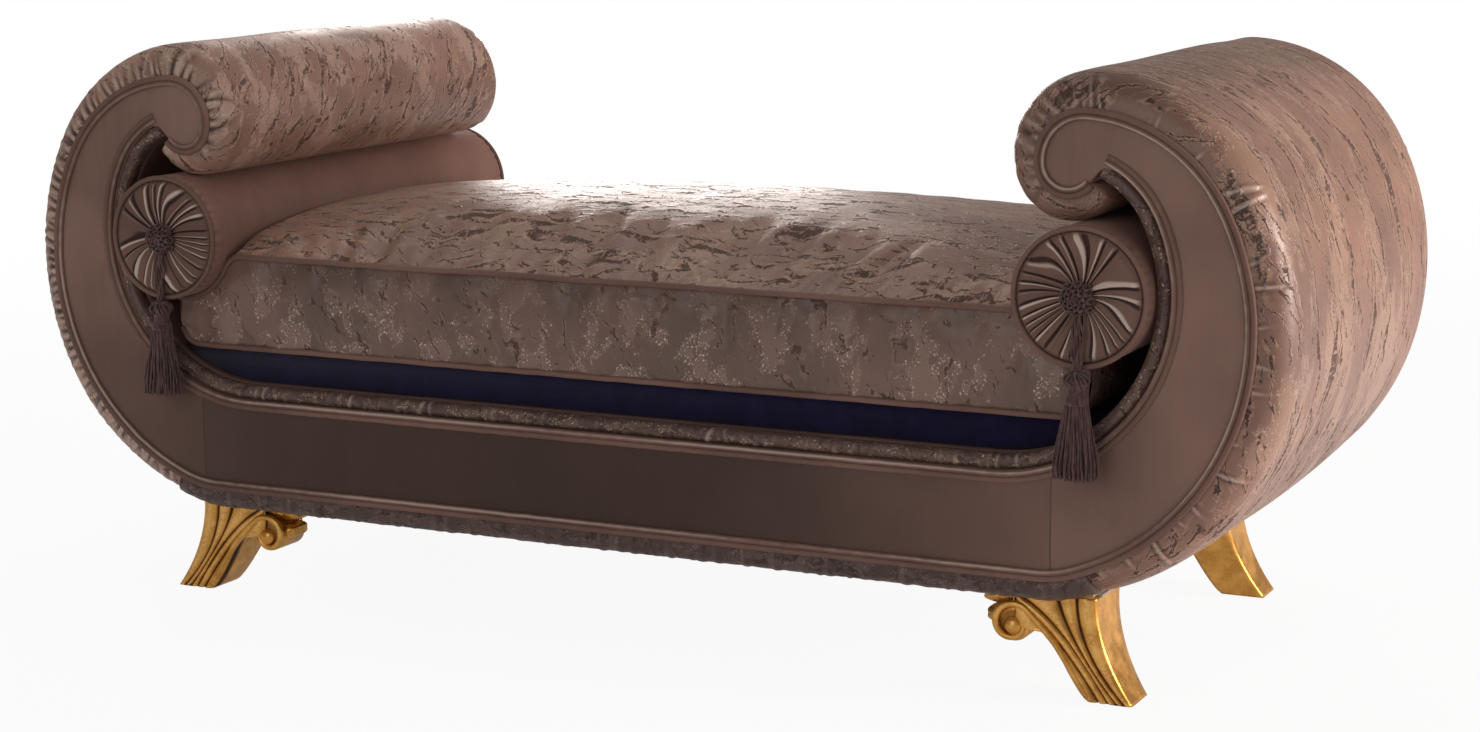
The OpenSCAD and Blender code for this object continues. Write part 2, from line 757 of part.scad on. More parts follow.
module tassel_skirt() color(dark_braid) {
    n = 2 * strands;
    loft([for (k = [0:len(skirt_height_shares) - 1]) [for (j = [0:n - 1])
        let (
            a = 360 * j / n,
            swell = skirt_width_shares[k] * (1 - strand_depth_share * (j % 2)) / 2
        )
        [
            bolster_x + skirt_w * swell * cos(a),
            -tassel_out - skirt_d * swell * sin(a),
            skirt_z - skirt_h * skirt_height_shares[k]
        ]]], fan_faces(n));
}

// The leg's outlines by height: u is the share of the height that is left above
function leg_outer_x(u) = leg_x + leg_splay * pow(u, splay_power);
function leg_inner_x(share) =
    share < waist_share
    ? leg_back_x - foot_w * waist_in_share * pow(share / waist_share, inner_power)
    : share < arch_share
    ? leg_back_x - foot_w * waist_in_share
        - (volute_r - volute_tuck) * (1 - sqrt(1 - pow((share - waist_share) / (arch_share - waist_share), 2)))
    : volute_c[0] + volute_tuck;
function groove_x(k, u) =
    let (top = leg_x - fan_w * groove_top_shares[k], foot = leg_back_x + foot_w * groove_foot_shares[k])
    top + (foot - top) * pow(u, groove_powers[k]);
function leg_row(share) =
    let (
        u = 1 - share,
        z = glide_t + share * (leg_h - glide_t),
        inner = leg_inner_x(share),
        outer = leg_outer_x(u),
        sliver = fan_w * sliver_share,
        lines = concat(
            [inner],
            [for (k = [0:flutes - 2])
                min(max(groove_x(k, u), inner + (k + 1) * sliver), outer - (flutes - 1 - k) * sliver)],
            [outer]
        ),
        back = leg_recess + foot_d + (leg_top_d - foot_d) * share
    )
    concat(
        [for (k = [0:flutes - 1], i = [0:flute_steps - 1]) let (t = i / flute_steps)
            [lines[k] + (lines[k + 1] - lines[k]) * t,
             leg_recess + flute_d * (1 - sqrt(1 - pow(2 * t - 1, 2))), z]],
        [[outer, leg_recess + flute_d, z]],
        [for (k = [flutes:-1:0]) [lines[k], back, z]]
    );
// Each flute's end is a fan from the point behind its inner groove
leg_end_faces = [
    for (k = [0:flutes - 1], i = [0:flute_steps])
    let (front = k * flute_steps + i, back = flutes * flute_steps + 1 + flutes - k)
    i < flute_steps ? [back, front, front + 1] : [back, front, back - 1]
];

// A bead that winds in from just inside the volute's rim, and ends inside its eye
function spiral_r(t) = volute_r - volute_rim - (volute_r - volute_rim - eye_r * eye_share) * t;
module volute_face() {
    points = [for (i = [0:spiral_steps]) let (t = i / spiral_steps)
        along([0, 0], spiral_r(t), spiral_start + spiral_turn * t)];
    inside = [for (i = [0:spiral_steps]) let (t = i / spiral_steps)
        along([0, 0], spiral_r(t) - bead_w * (1 - t / 2), spiral_start + spiral_turn * t)];
    polygon(concat(points, reversed(inside)));
}

module leg() color(gilt) difference() {
    union() {
        loft([for (s = leg_row_shares) leg_row(s)], leg_end_faces);
        translate([volute_c[0], 0, volute_c[1]]) {
            slab(leg_recess + bead_h, foot_d - bead_h) circle(volute_r);
            slab(leg_recess, 2 * bead_h) {
                volute_face();
                circle(eye_r);
            }
        }
        translate([volute_c[0] - volute_r - leaf_r / 3, 0, volute_c[1] + leaf_r / 2])
            slab(leg_recess + 2 * bead_h, foot_d - 3 * bead_h) circle(leaf_r);
        top_leaf = along(volute_c, volute_r + top_leaf_r * leaf_spread_share, leaf_angle);
        translate([top_leaf[0], 0, top_leaf[1]])
            slab(leg_recess + 3 * bead_h, foot_d - 5 * bead_h) circle(top_leaf_r);
    }
    translate([bolt_x, bolt_y, leg_h - bolt_in]) cylinder(r = bolt_r, h = bolt_in + overrun);
}

module leg_plates() color(steel) placed() both_sides() front_and_rear() difference() {
    translate([bolt_x - plate_w / 2, bolt_y - plate_w / 2, leg_h]) cube([plate_w, plate_w, plate_t]);
    translate([bolt_x, bolt_y, leg_h - overrun]) cylinder(r = bolt_r, h = plate_t + 2 * overrun);
}

module leg_bolts() color(steel) placed() both_sides() front_and_rear()
    translate([bolt_x, bolt_y, leg_h - bolt_in]) {
        cylinder(r = bolt_r, h = bolt_in + facing_bottom - leg_h + 2 * bolt_r);
        translate([0, 0, bolt_in + facing_bottom - leg_h]) cylinder(r = 2 * bolt_r, h = bolt_r * nut_share, $fn = 6);
    }

module glides() color("dimgray") placed() both_sides() front_and_rear()
    translate([glide_x, glide_y, 0]) cylinder(r = glide_r, h = glide_t);

placed() profile_board();  // front_profile_board
placed() at_rear() profile_board();  // rear_profile_board
cross_rails();
placed() seat_rail();  // front_seat_rail
placed() at_rear() seat_rail();  // rear_seat_rail
leg_blocks();
placed() at_left() scroll_battens();  // left_scroll_battens
placed() scroll_battens();  // right_scroll_battens
placed() at_left() scroll_skin();  // left_scroll_skin
placed() scroll_skin();  // right_scroll_skin
placed() at_left() throat_skin();  // left_throat_skin
placed() throat_skin();  // right_throat_skin
webbing();
deck_pad();
dust_cover();
placed() at_left() scroll_padding();  // left_scroll_padding
placed() scroll_padding();  // right_scroll_padding
placed() at_left() scroll_cover();  // left_scroll_cover
placed() scroll_cover();  // right_scroll_cover
placed() at_left() throat_lining();  // left_throat_lining
placed() throat_lining();  // right_throat_lining
placed() facing();  // front_facing
placed() at_rear() facing();  // rear_facing
placed() outer_welt();  // front_outer_welt
placed() at_rear() outer_welt();  // rear_outer_welt
placed() inner_welt();  // front_inner_welt
placed() at_rear() inner_welt();  // rear_inner_welt
placed() inner_edging();  // front_inner_edging
placed() at_rear() inner_edging();  // rear_inner_edging
placed() base_border();  // front_base_border
placed() at_rear() base_border();  // rear_base_border
platform_core();
platform_cover();
seat_cushion();
cushion_top_piping();
cushion_bottom_piping();
placed() at_left() bolster();  // left_bolster
placed() bolster();  // right_bolster
placed() at_left() bolster_rims();  // left_bolster_rims
placed() bolster_rims();  // right_bolster_rims
placed() at_left() rosette();  // left_front_rosette
placed() rosette();  // right_front_rosette
placed() at_rear() at_left() rosette();  // left_rear_rosette
placed() at_rear() rosette();  // right_rear_rosette
placed() at_left() front_and_rear() button();  // left_buttons
placed() front_and_rear() button();  // right_buttons
placed() at_left() tassel_cord();  // left_tassel_cord
placed() tassel_cord();  // right_tassel_cord
placed() at_left() tassel_head();  // left_tassel_head
placed() tassel_head();  // right_tassel_head
placed() at_left() tassel_skirt();  // left_tassel_skirt
placed() tassel_skirt();  // right_tassel_skirt
placed() at_left() leg();  // front_left_leg
placed() leg();  // front_right_leg
placed() at_rear() at_left() leg();  // rear_left_leg
placed() at_rear() leg();  // rear_right_leg
leg_plates();
leg_bolts();
glides();
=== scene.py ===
import math
import random

import bmesh
import bpy
import numpy as np
from mathutils import Matrix, Vector, noise


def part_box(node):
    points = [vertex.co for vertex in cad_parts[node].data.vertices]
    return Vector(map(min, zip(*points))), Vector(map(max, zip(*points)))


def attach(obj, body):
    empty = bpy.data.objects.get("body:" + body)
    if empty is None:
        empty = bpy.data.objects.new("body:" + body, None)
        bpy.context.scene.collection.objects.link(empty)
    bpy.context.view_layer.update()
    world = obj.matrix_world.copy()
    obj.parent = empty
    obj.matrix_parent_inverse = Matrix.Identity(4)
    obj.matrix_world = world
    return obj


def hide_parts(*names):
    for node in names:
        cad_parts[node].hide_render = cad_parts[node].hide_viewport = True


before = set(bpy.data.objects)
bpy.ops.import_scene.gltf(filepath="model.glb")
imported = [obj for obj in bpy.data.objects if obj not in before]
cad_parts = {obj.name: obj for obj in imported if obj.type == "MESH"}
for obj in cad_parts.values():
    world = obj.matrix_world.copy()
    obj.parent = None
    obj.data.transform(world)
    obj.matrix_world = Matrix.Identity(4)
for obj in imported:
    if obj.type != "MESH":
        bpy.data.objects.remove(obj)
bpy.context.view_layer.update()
scene = bpy.context.scene

# where things are, read from the solids, in metres
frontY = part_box("front_facing")[0][1]
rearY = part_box("rear_facing")[1][1]
depth, middleY = rearY - frontY, (frontY + rearY) / 2
couch = {  # the outline that the facings were drawn on
    "bottom": 0.173, "railHeight": 0.130, "scrollX": 0.5635, "scrollRadius": 0.328,
    "cornerRadius": 0.150, "shoulderRadius": 0.205, "lobeRadius": 0.0575,
    "curlRadius": 0.036, "neckRadius": 0.130, "facingSide": 0.100,
}
turns = {  # degrees round each curve
    "rail": -76, "cover": -68, "swell": -38, "shoulder": 27.2, "crest": 87.3,
    "curl": 190, "curlEnd": 320, "neck": 25, "notch": 66,
}


def along(centre, radius, angle):
    turn = math.radians(angle)
    return (centre[0] + radius * math.cos(turn), centre[1] + radius * math.sin(turn))


# centres of the curves, each tangent to the one before
scrollC = (couch["scrollX"],
           couch["bottom"] - couch["scrollRadius"] * math.sin(math.radians(turns["rail"])))
cornerRise = scrollC[1] - couch["bottom"] - couch["cornerRadius"]
cornerReach = couch["scrollRadius"] - couch["cornerRadius"]
cornerX = scrollC[0] + math.sqrt(cornerReach ** 2 - cornerRise ** 2)
cornerC = (cornerX, couch["bottom"] + couch["cornerRadius"])
cornerTurn = -math.degrees(math.atan2(cornerRise, cornerX - scrollC[0]))
shoulderC = along(scrollC, couch["scrollRadius"] - couch["shoulderRadius"], turns["shoulder"])
lobeC = along(shoulderC, couch["shoulderRadius"] - couch["lobeRadius"], turns["crest"])
curlC = along(lobeC, couch["lobeRadius"] - couch["curlRadius"], turns["curl"])
railTop = couch["bottom"] + couch["railHeight"]
throatRadius = couch["scrollRadius"] - couch["facingSide"]
throatC = (couch["scrollX"], railTop + throatRadius)
neckC = along(throatC, throatRadius - couch["neckRadius"], turns["neck"])

outerParts = [
    ("line", (0, couch["bottom"]), (cornerX, couch["bottom"])),
    ("arc", cornerC, couch["cornerRadius"], -90, cornerTurn),
    ("arc", scrollC, couch["scrollRadius"], cornerTurn, turns["shoulder"]),
    ("arc", shoulderC, couch["shoulderRadius"], turns["shoulder"], turns["crest"]),
    ("arc", lobeC, couch["lobeRadius"], turns["crest"], turns["curl"]),
    ("arc", curlC, couch["curlRadius"], turns["curl"], turns["curlEnd"]),
]
innerParts = [
    ("line", (0, railTop), (couch["scrollX"], railTop)),
    ("arc", throatC, throatRadius, -90, turns["neck"]),
    ("arc", neckC, couch["neckRadius"], turns["neck"], turns["notch"]),
]


def tracePath(parts, step):
    # points of the right half, with the way outwards, as rows of x, z, outward x, outward z
    rows = []
    for part in parts:
        if part[0] == "line":
            count = max(2, int(math.dist(part[1], part[2]) / step))
            new = [(part[1][0] + (part[2][0] - part[1][0]) * i / count, part[1][1], 0, -1)
                   for i in range(count + 1)]
        else:
            _, centre, radius, start, end = part
            count = max(4, int(abs(math.radians(end - start)) * radius / step))
            new = []
            for i in range(count + 1):
                turn = start + (end - start) * i / count
                x, z = along(centre, radius, turn)
                new.append((x, z, math.cos(math.radians(turn)), math.sin(math.radians(turn))))
        rows += new if not rows else new[1:]
    return np.array(rows)


def bothHalves(right):
    # the right half's rows with their mirror image before them
    return np.vstack([right[:0:-1] * np.array([-1, 1, -1, 1]), right])


def wholePath(parts, step):
    return bothHalves(tracePath(parts, step))


def lengths(points):
    gaps = np.linalg.norm(np.diff(points, axis=0), axis=1)
    return np.concatenate([[0], np.cumsum(gaps)])


def fullTurn(count):
    return np.linspace(0, 2 * math.pi, count + 1)[:-1]


def easedShares(count):
    # from 0 to 1, closer together near both ends
    return 0.5 - 0.5 * np.cos(math.pi * np.linspace(0, 1, count))


# mesh helpers
def finishMesh(name, verts, faces, uvs=None, marks=None, smooth=True, outward=True):
    # uvs: one pair per face corner, marks: one number per vertex for the materials
    mesh = bpy.data.meshes.new(name)
    mesh.from_pydata([tuple(v) for v in verts], [], [tuple(f) for f in faces])
    if uvs is not None:
        layer = mesh.uv_layers.new(name="cloth")
        layer.data.foreach_set("uv", np.array(uvs, dtype=np.float32).ravel())
    if marks is not None:
        layer = mesh.attributes.new("fold", "FLOAT", "POINT")
        layer.data.foreach_set("value", np.array(marks, dtype=np.float32))
    if outward:
        work = bmesh.new()
        work.from_mesh(mesh)
        bmesh.ops.recalc_face_normals(work, faces=work.faces)
        work.to_mesh(mesh)
        work.free()
    mesh.shade_smooth() if smooth else mesh.shade_flat()
    piece = bpy.data.objects.new(name, mesh)
    scene.collection.objects.link(piece)
    return piece


def loftRings(name, rings, us=None, vs=None, marks=None, closedPath=False, caps=True):
    # rings: (stations, points, 3); every ring is closed, the ends get strips of quads
    rings = np.asarray(rings, dtype=float)
    count, size = rings.shape[:2]
    us = np.arange(count + 1) * 0.01 if us is None else np.asarray(us)
    vs = np.arange(size + 1) * 0.01 if vs is None else np.asarray(vs)
    faces, uvs = [], []
    for i in range(count if closedPath else count - 1):
        a, b = i * size, ((i + 1) % count) * size
        for j in range(size):
            k = (j + 1) % size
            faces.append((a + j, b + j, b + k, a + k))
            uvs += [(us[i], vs[j]), (us[i + 1], vs[j]), (us[i + 1], vs[j + 1]), (us[i], vs[j + 1])]
    if caps and not closedPath:
        for base, u in ((0, us[0]), ((count - 1) * size, us[count - 1])):
            for j in range(size // 2 - 1 + size % 2):
                a, b, c, d = j, j + 1, size - 2 - j, size - 1 - j
                ring = [a, b, c, d] if b != c else [a, b, d]
                faces.append([base + n for n in ring])
                uvs += [(u, vs[n]) for n in ring]
    flat = rings.reshape(-1, 3)
    return finishMesh(name, flat, faces, uvs, None if marks is None else np.ravel(marks))


def mirroredCopy(piece, name, axis, middle=0.0):
    # a copy mirrored across a plane, with its faces turned the right way again
    mesh = piece.data.copy()
    mesh.name = name
    size = [1, 1, 1]
    size[axis] = -1
    shift = [0, 0, 0]
    shift[axis] = 2 * middle
    mesh.transform(Matrix.Translation(shift) @ Matrix.Diagonal((*size, 1)))
    mesh.flip_normals()
    twin = bpy.data.objects.new(name, mesh)
    scene.collection.objects.link(twin)
    return twin


def joinPieces(name, parts):
    # one object out of several shells
    work = bmesh.new()
    for part in parts:
        work.from_mesh(part.data)
        bpy.data.objects.remove(part)
    mesh = bpy.data.meshes.new(name)
    work.to_mesh(mesh)
    work.free()
    mesh.shade_smooth()
    piece = bpy.data.objects.new(name, mesh)
    scene.collection.objects.link(piece)
    return piece


def softNoise(x, y, z, size, seed):
    return noise.noise(Vector((x / size + seed * 7.3, y / size - seed * 3.1, z / size + seed)))


def dress(piece, material, body, replaces=()):
    piece.data.materials.clear()
    piece.data.materials.append(material)
    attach(piece, body)
    if replaces:
        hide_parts(*replaces)
    return piece


def frontAndRear(front, material, node):
    # the rear piece is a mirror image of the front one
    rear = mirroredCopy(front, front.name.replace("front", "rear"), 1, middleY)
    for piece, face in ((front, "front"), (rear, "rear")):
        dress(piece, material, "frame", ["%s_%s" % (face, node)])


def pinchAt(folds, s, off=0.0):
    # how far the nearest fold rises at s; folds: place, height, half width, slant
    at, height, half, slant = min(folds, key=lambda fold: abs(fold[0] - s))
    t = (s - at - slant * off) / half
    return height * (1 - t * t) * math.exp(-t * t / 2)


# node helpers, for shader and geometry trees alike
def addNode(tree, kind, inputs=None, **settings):
    made = tree.nodes.new(kind)
    for key, value in settings.items():
        setattr(made, key, value)
    for key, value in (inputs or {}).items():
        feed(tree, made.inputs[key], value)
    return made


def feed(tree, socket, value):
    if isinstance(value, bpy.types.NodeSocket):
        tree.links.new(value, socket)
    else:
        socket.default_value = value


def calc(tree, operation, *values, clamp=False):
    made = tree.nodes.new("ShaderNodeMath")
    made.operation = operation
    made.use_clamp = clamp
    for i, value in enumerate(values):
        feed(tree, made.inputs[i], value)
    return made.outputs[0]


def plus(tree, a, b):
    return calc(tree, "ADD", a, b)


def minus(tree, a, b, clamp=False):
    return calc(tree, "SUBTRACT", a, b, clamp=clamp)


def times(tree, a, b, clamp=False):
    return calc(tree, "MULTIPLY", a, b, clamp=clamp)


def vectorCalc(tree, operation, a, b):
    made = tree.nodes.new("ShaderNodeVectorMath")
    made.operation = operation
    feed(tree, made.inputs[0], a)
    feed(tree, made.inputs[3 if operation == "SCALE" else 1], b)
    return made.outputs[0]


def ramp(tree, value, low, high, toLow=0.0, toHigh=1.0):
    made = tree.nodes.new("ShaderNodeMapRange")
    made.interpolation_type = "SMOOTHSTEP"
    for name, item in (("Value", value), ("From Min", low), ("From Max", high),
                       ("To Min", toLow), ("To Max", toHigh)):
        feed(tree, made.inputs[name], item)
    return made.outputs["Result"]


def blendColours(tree, factor, a, b, kind="MIX"):
    made = tree.nodes.new("ShaderNodeMix")
    made.data_type = "RGBA"
    made.blend_type = kind
    feed(tree, made.inputs["Factor"], factor)
    feed(tree, made.inputs[6], a)
    feed(tree, made.inputs[7], b)
    return made.outputs[2]


def tinted(base, share):
    return (*[c * share for c in base], 1)


def firstOf(tree, kind, inputs=None, **settings):
    return addNode(tree, kind, inputs, **settings).outputs[0]


def combine(tree, x, y, z):
    return firstOf(tree, "ShaderNodeCombineXYZ", {"X": x, "Y": y, "Z": z})


def apart(tree, place):
    return addNode(tree, "ShaderNodeSeparateXYZ", {"Vector": place}).outputs


def cloudNoise(tree, place, scale, detail=2.0, rough=0.5, result="Fac"):
    return addNode(tree, "ShaderNodeTexNoise", {"Vector": place, "Scale": scale, "Detail": detail,
                                                "Roughness": rough}).outputs[result]


def newGroup(name, inputs, outputs, kind="ShaderNodeTree"):
    # returns the tree, the sockets that hold what it is given, and its end
    tree = bpy.data.node_groups.new(name, kind)
    for label, form, value in inputs:
        socket = tree.interface.new_socket(label, in_out="INPUT", socket_type=form)
        if value is not None:
            socket.default_value = value
    for label, form in outputs:
        tree.interface.new_socket(label, in_out="OUTPUT", socket_type=form)
    return tree, tree.nodes.new("NodeGroupInput").outputs, tree.nodes.new("NodeGroupOutput")


def placeGroup(tree, group, inputs):
    made = tree.nodes.new("ShaderNodeGroup")
    made.node_tree = group
    for key, value in inputs.items():
        feed(tree, made.inputs[key], value)
    return made


def newMaterial(name, **sockets):
    material = bpy.data.materials.new(name)
    material.use_nodes = True
    tree = material.node_tree
    shader = tree.nodes["Principled BSDF"]
    for label, value in sockets.items():
        shader.inputs[label.replace("_", " ")].default_value = value
    return material, tree, shader


number, vector, colour = "NodeSocketFloat", "NodeSocketVector", "NodeSocketColor"


# shader groups that several finishes share
def makeClothGrain():
    # fine nap: long soft streaks crossed by small specks
    tree, given, end = newGroup("clothGrain", [
        ("Vector", vector, None), ("Streak Scale", number, 60.0), ("Stretch", number, 0.12)],
        [("Streaks", number), ("Specks", number)])
    place = given["Vector"]
    squeezed = vectorCalc(tree, "MULTIPLY", place, combine(tree, 1.0, 1.0, given["Stretch"]))
    streaks = cloudNoise(tree, squeezed, given["Streak Scale"], 4.0, 0.6)
    tree.links.new(streaks, end.inputs["Streaks"])
    tree.links.new(cloudNoise(tree, place, 620.0), end.inputs["Specks"])
    return tree


def makeCrackle():
    # broken lines that run along the cloth's u, and satin patches with ragged edges
    tree, given, end = newGroup("barkCrackle", [
        ("Vector", vector, None), ("Length", number, 0.3), ("Width", number, 0.045),
        ("Line Width", number, 0.02), ("Broken", number, 0.5), ("Slant", number, 0.0),
        ("Crest", number, 0.0), ("Patch Size", number, 0.09), ("Patch Stretch", number, 2.0)],
        [("Lines", number), ("Rims", number), ("Patches", number), ("Sparks", number),
         ("Threads", number)])
    place = moved = given["Vector"]
    # ragged edges, kinks and a slow drift come from pushes on the place that is read
    for scale, reach in ((380.0, 0.0045), (60.0, 0.014), (7.0, 0.035)):
        found = cloudNoise(tree, place, scale, result="Color")
        push = vectorCalc(tree, "SUBTRACT", found, (0.5, 0.5, 0.5))
        moved = vectorCalc(tree, "ADD", moved, vectorCalc(tree, "SCALE", push, reach))
    parts = apart(tree, moved)
    steps = addNode(tree, "ShaderNodeTexVoronoi", {"Vector": place, "Scale": 34.0})
    side = apart(tree, steps.outputs["Color"])["X"]
    u, v = parts["X"], calc(tree, "MULTIPLY_ADD", side, 0.008, parts["Y"])
    dots = cloudNoise(tree, vectorCalc(tree, "MULTIPLY", place, (190.0, 60.0, 1.0)), 1.0, 1.0)
    whole = ramp(tree, dots, 0.36, 0.46)

    def linesAt(share, slant, limit, offset):
        long = times(tree, given["Length"], share)
        wide = times(tree, given["Width"], share ** 0.4)
        across = calc(tree, "MULTIPLY_ADD", u, slant, v)

        def field(scaleU, scaleV, depth, detail):
            spot = combine(tree, calc(tree, "DIVIDE", calc(tree, "DIVIDE", u, long), scaleU),
                           calc(tree, "DIVIDE", calc(tree, "DIVIDE", across, wide), scaleV), depth)
            return cloudNoise(tree, spot, 1.0, detail)

        away = calc(tree, "ABSOLUTE", minus(tree, field(1.0, 1.0, offset, 1.0), 0.5))
        shown = ramp(tree, field(0.4, 0.8, offset + 7.0, 2.0), limit, plus(tree, limit, 0.03))
        shown = times(tree, shown, whole)
        width = given["Line Width"]
        line = ramp(tree, away, times(tree, width, 0.45), width, 1.0, 0.0)
        rim = ramp(tree, away, width, times(tree, width, 3.0), 1.0, 0.0)
        return times(tree, line, shown), times(tree, minus(tree, rim, line, clamp=True), shown)

    broken, crest = given["Broken"], given["Crest"]
    first = linesAt(1.0, given["Slant"], calc(tree, "MULTIPLY_ADD", crest, -0.06, broken), 0.0)
    second = linesAt(0.4, plus(tree, given["Slant"], 0.45),
                     calc(tree, "MULTIPLY_ADD", crest, -0.2, plus(tree, broken, 0.06)), 5.0)
    lines, rims = (calc(tree, "MAXIMUM", a, b) for a, b in zip(first, second))
    stretched = combine(tree, calc(tree, "DIVIDE", u, given["Patch Stretch"]), v, 0.0)
    patchScale = calc(tree, "DIVIDE", 1.0, given["Patch Size"])
    patchNoise = cloudNoise(tree, stretched, patchScale, 8.0, 0.62)
    patches = ramp(tree, patchNoise, 0.51, 0.57)
    threads = cloudNoise(tree, vectorCalc(tree, "MULTIPLY", place, (160.0, 900.0, 200.0)), 1.0)
    # Sparks: fine flecks along the patches' ragged rims, laid on by the finishes as painted glints
    fine = cloudNoise(tree, place, 300.0, 3.0, 0.7)
    rimmed = calc(tree, "ABSOLUTE", minus(tree, patchNoise, 0.545))
    sparks = times(tree, ramp(tree, fine, 0.54, 0.62), ramp(tree, rimmed, 0.012, 0.032, 1.0, 0.0))
    for label, value in (("Lines", lines), ("Rims", rims), ("Patches", patches),
                         ("Sparks", sparks), ("Threads", threads)):
        tree.links.new(value, end.inputs[label])
    return tree


def makeFoldShade():
    # painted shade in the bottoms of folds and a painted highlight on their ridges, from the mesh's
    # own fold marks
    tree, given, end = newGroup("foldShade", [
        ("Colour", colour, (1, 1, 1, 1)), ("Dark", number, 0.7), ("Light", number, 0.3)],
        [("Colour", colour)])
    mark = addNode(tree, "ShaderNodeAttribute", attribute_name="fold").outputs["Fac"]
    low = times(tree, ramp(tree, mark, 0.0, -1.0), given["Dark"])
    high = times(tree, ramp(tree, mark, 0.0, 1.0), given["Light"])
    shade = blendColours(tree, low, given["Colour"], (0.02, 0.012, 0.012, 1))
    shade = blendColours(tree, high, shade, (0.75, 0.62, 0.54, 1))
    tree.links.new(shade, end.inputs["Colour"])
    return tree


clothGrain = makeClothGrain()
barkCrackle = makeCrackle()
foldShade = makeFoldShade()


def coordinates(tree, kind):
    made = tree.nodes.new("ShaderNodeTexCoord")
    return made.outputs[kind]


def bumpInto(tree, shader, height, strength, distance):
    bump = addNode(tree, "ShaderNodeBump", {"Strength": strength, "Distance": distance,
                                            "Height": height})
    tree.links.new(bump.outputs["Normal"], shader.inputs["Normal"])
    return bump


# finishes
def makeVelvet(name, base, streakScale=90.0, seam=None, ridge=0.3, lift=(0.8, 0.6, 0.52)):
    material, tree, shader = newMaterial(
        name, Roughness=0.62, Sheen_Weight=0.22, Sheen_Roughness=0.3, Specular_IOR_Level=0.2)
    shader.inputs["Sheen Tint"].default_value = (*lift, 1)
    place = coordinates(tree, "Object")
    grain = placeGroup(tree, clothGrain, {"Vector": place, "Streak Scale": streakScale,
                                          "Stretch": 0.1})
    tone = ramp(tree, cloudNoise(tree, place, 4.5, 3.0), 0.3, 0.7)
    ground = blendColours(tree, tone, tinted(base, 0.8), tinted(base, 1.2))
    ground = blendColours(tree, ramp(tree, grain.outputs["Streaks"], 0.35, 0.75, 0.0, 0.16),
                          ground, tinted(base, 1.5))
    # painted shade in fold bottoms and a painted highlight on ridges, from the fold marks; ridge
    # sets the highlight's strength
    ground = placeGroup(tree, foldShade, {"Colour": ground, "Dark": 0.85,
                                          "Light": ridge}).outputs["Colour"]
    height = plus(tree, times(tree, grain.outputs["Streaks"], 0.35),
                  times(tree, grain.outputs["Specks"], 0.5))
    if seam:
        # a thin sewn line up the panel; and the rail below is darkened, a little between the seams
        # and more towards its middle: painted shade
        parts = apart(tree, place)
        x, z = parts["X"], parts["Z"]
        away = minus(tree, calc(tree, "ABSOLUTE", x), seam)
        line = ramp(tree, calc(tree, "ABSOLUTE", away), 0.0004, 0.0016, 1.0, 0.0)
        middle = calc(tree, "ABSOLUTE", plus(tree, x, 0.12))
        # painted shade on the rail: how far its colour is darkened
        dark = calc(tree, "MULTIPLY_ADD", ramp(tree, away, 0.002, -0.002), 0.12,
                    ramp(tree, middle, 0.2, 1.1, 0.76, 0.0))
        ground = blendColours(tree, times(tree, dark, ramp(tree, z, 0.42, 0.34)), ground,
                              tinted(base, 0.18))
        line = times(tree, line, ramp(tree, z, 0.40, 0.36))
        ground = blendColours(tree, times(tree, line, 0.6), ground, tinted(base, 0.25))
        height = minus(tree, height, line)
    tree.links.new(ground, shader.inputs["Base Color"])
    rough = ramp(tree, grain.outputs["Streaks"], 0.3, 0.7, 0.52, 0.68)
    tree.links.new(rough, shader.inputs["Roughness"])
    bumpInto(tree, shader, height, 0.25, 0.0006)
    return material


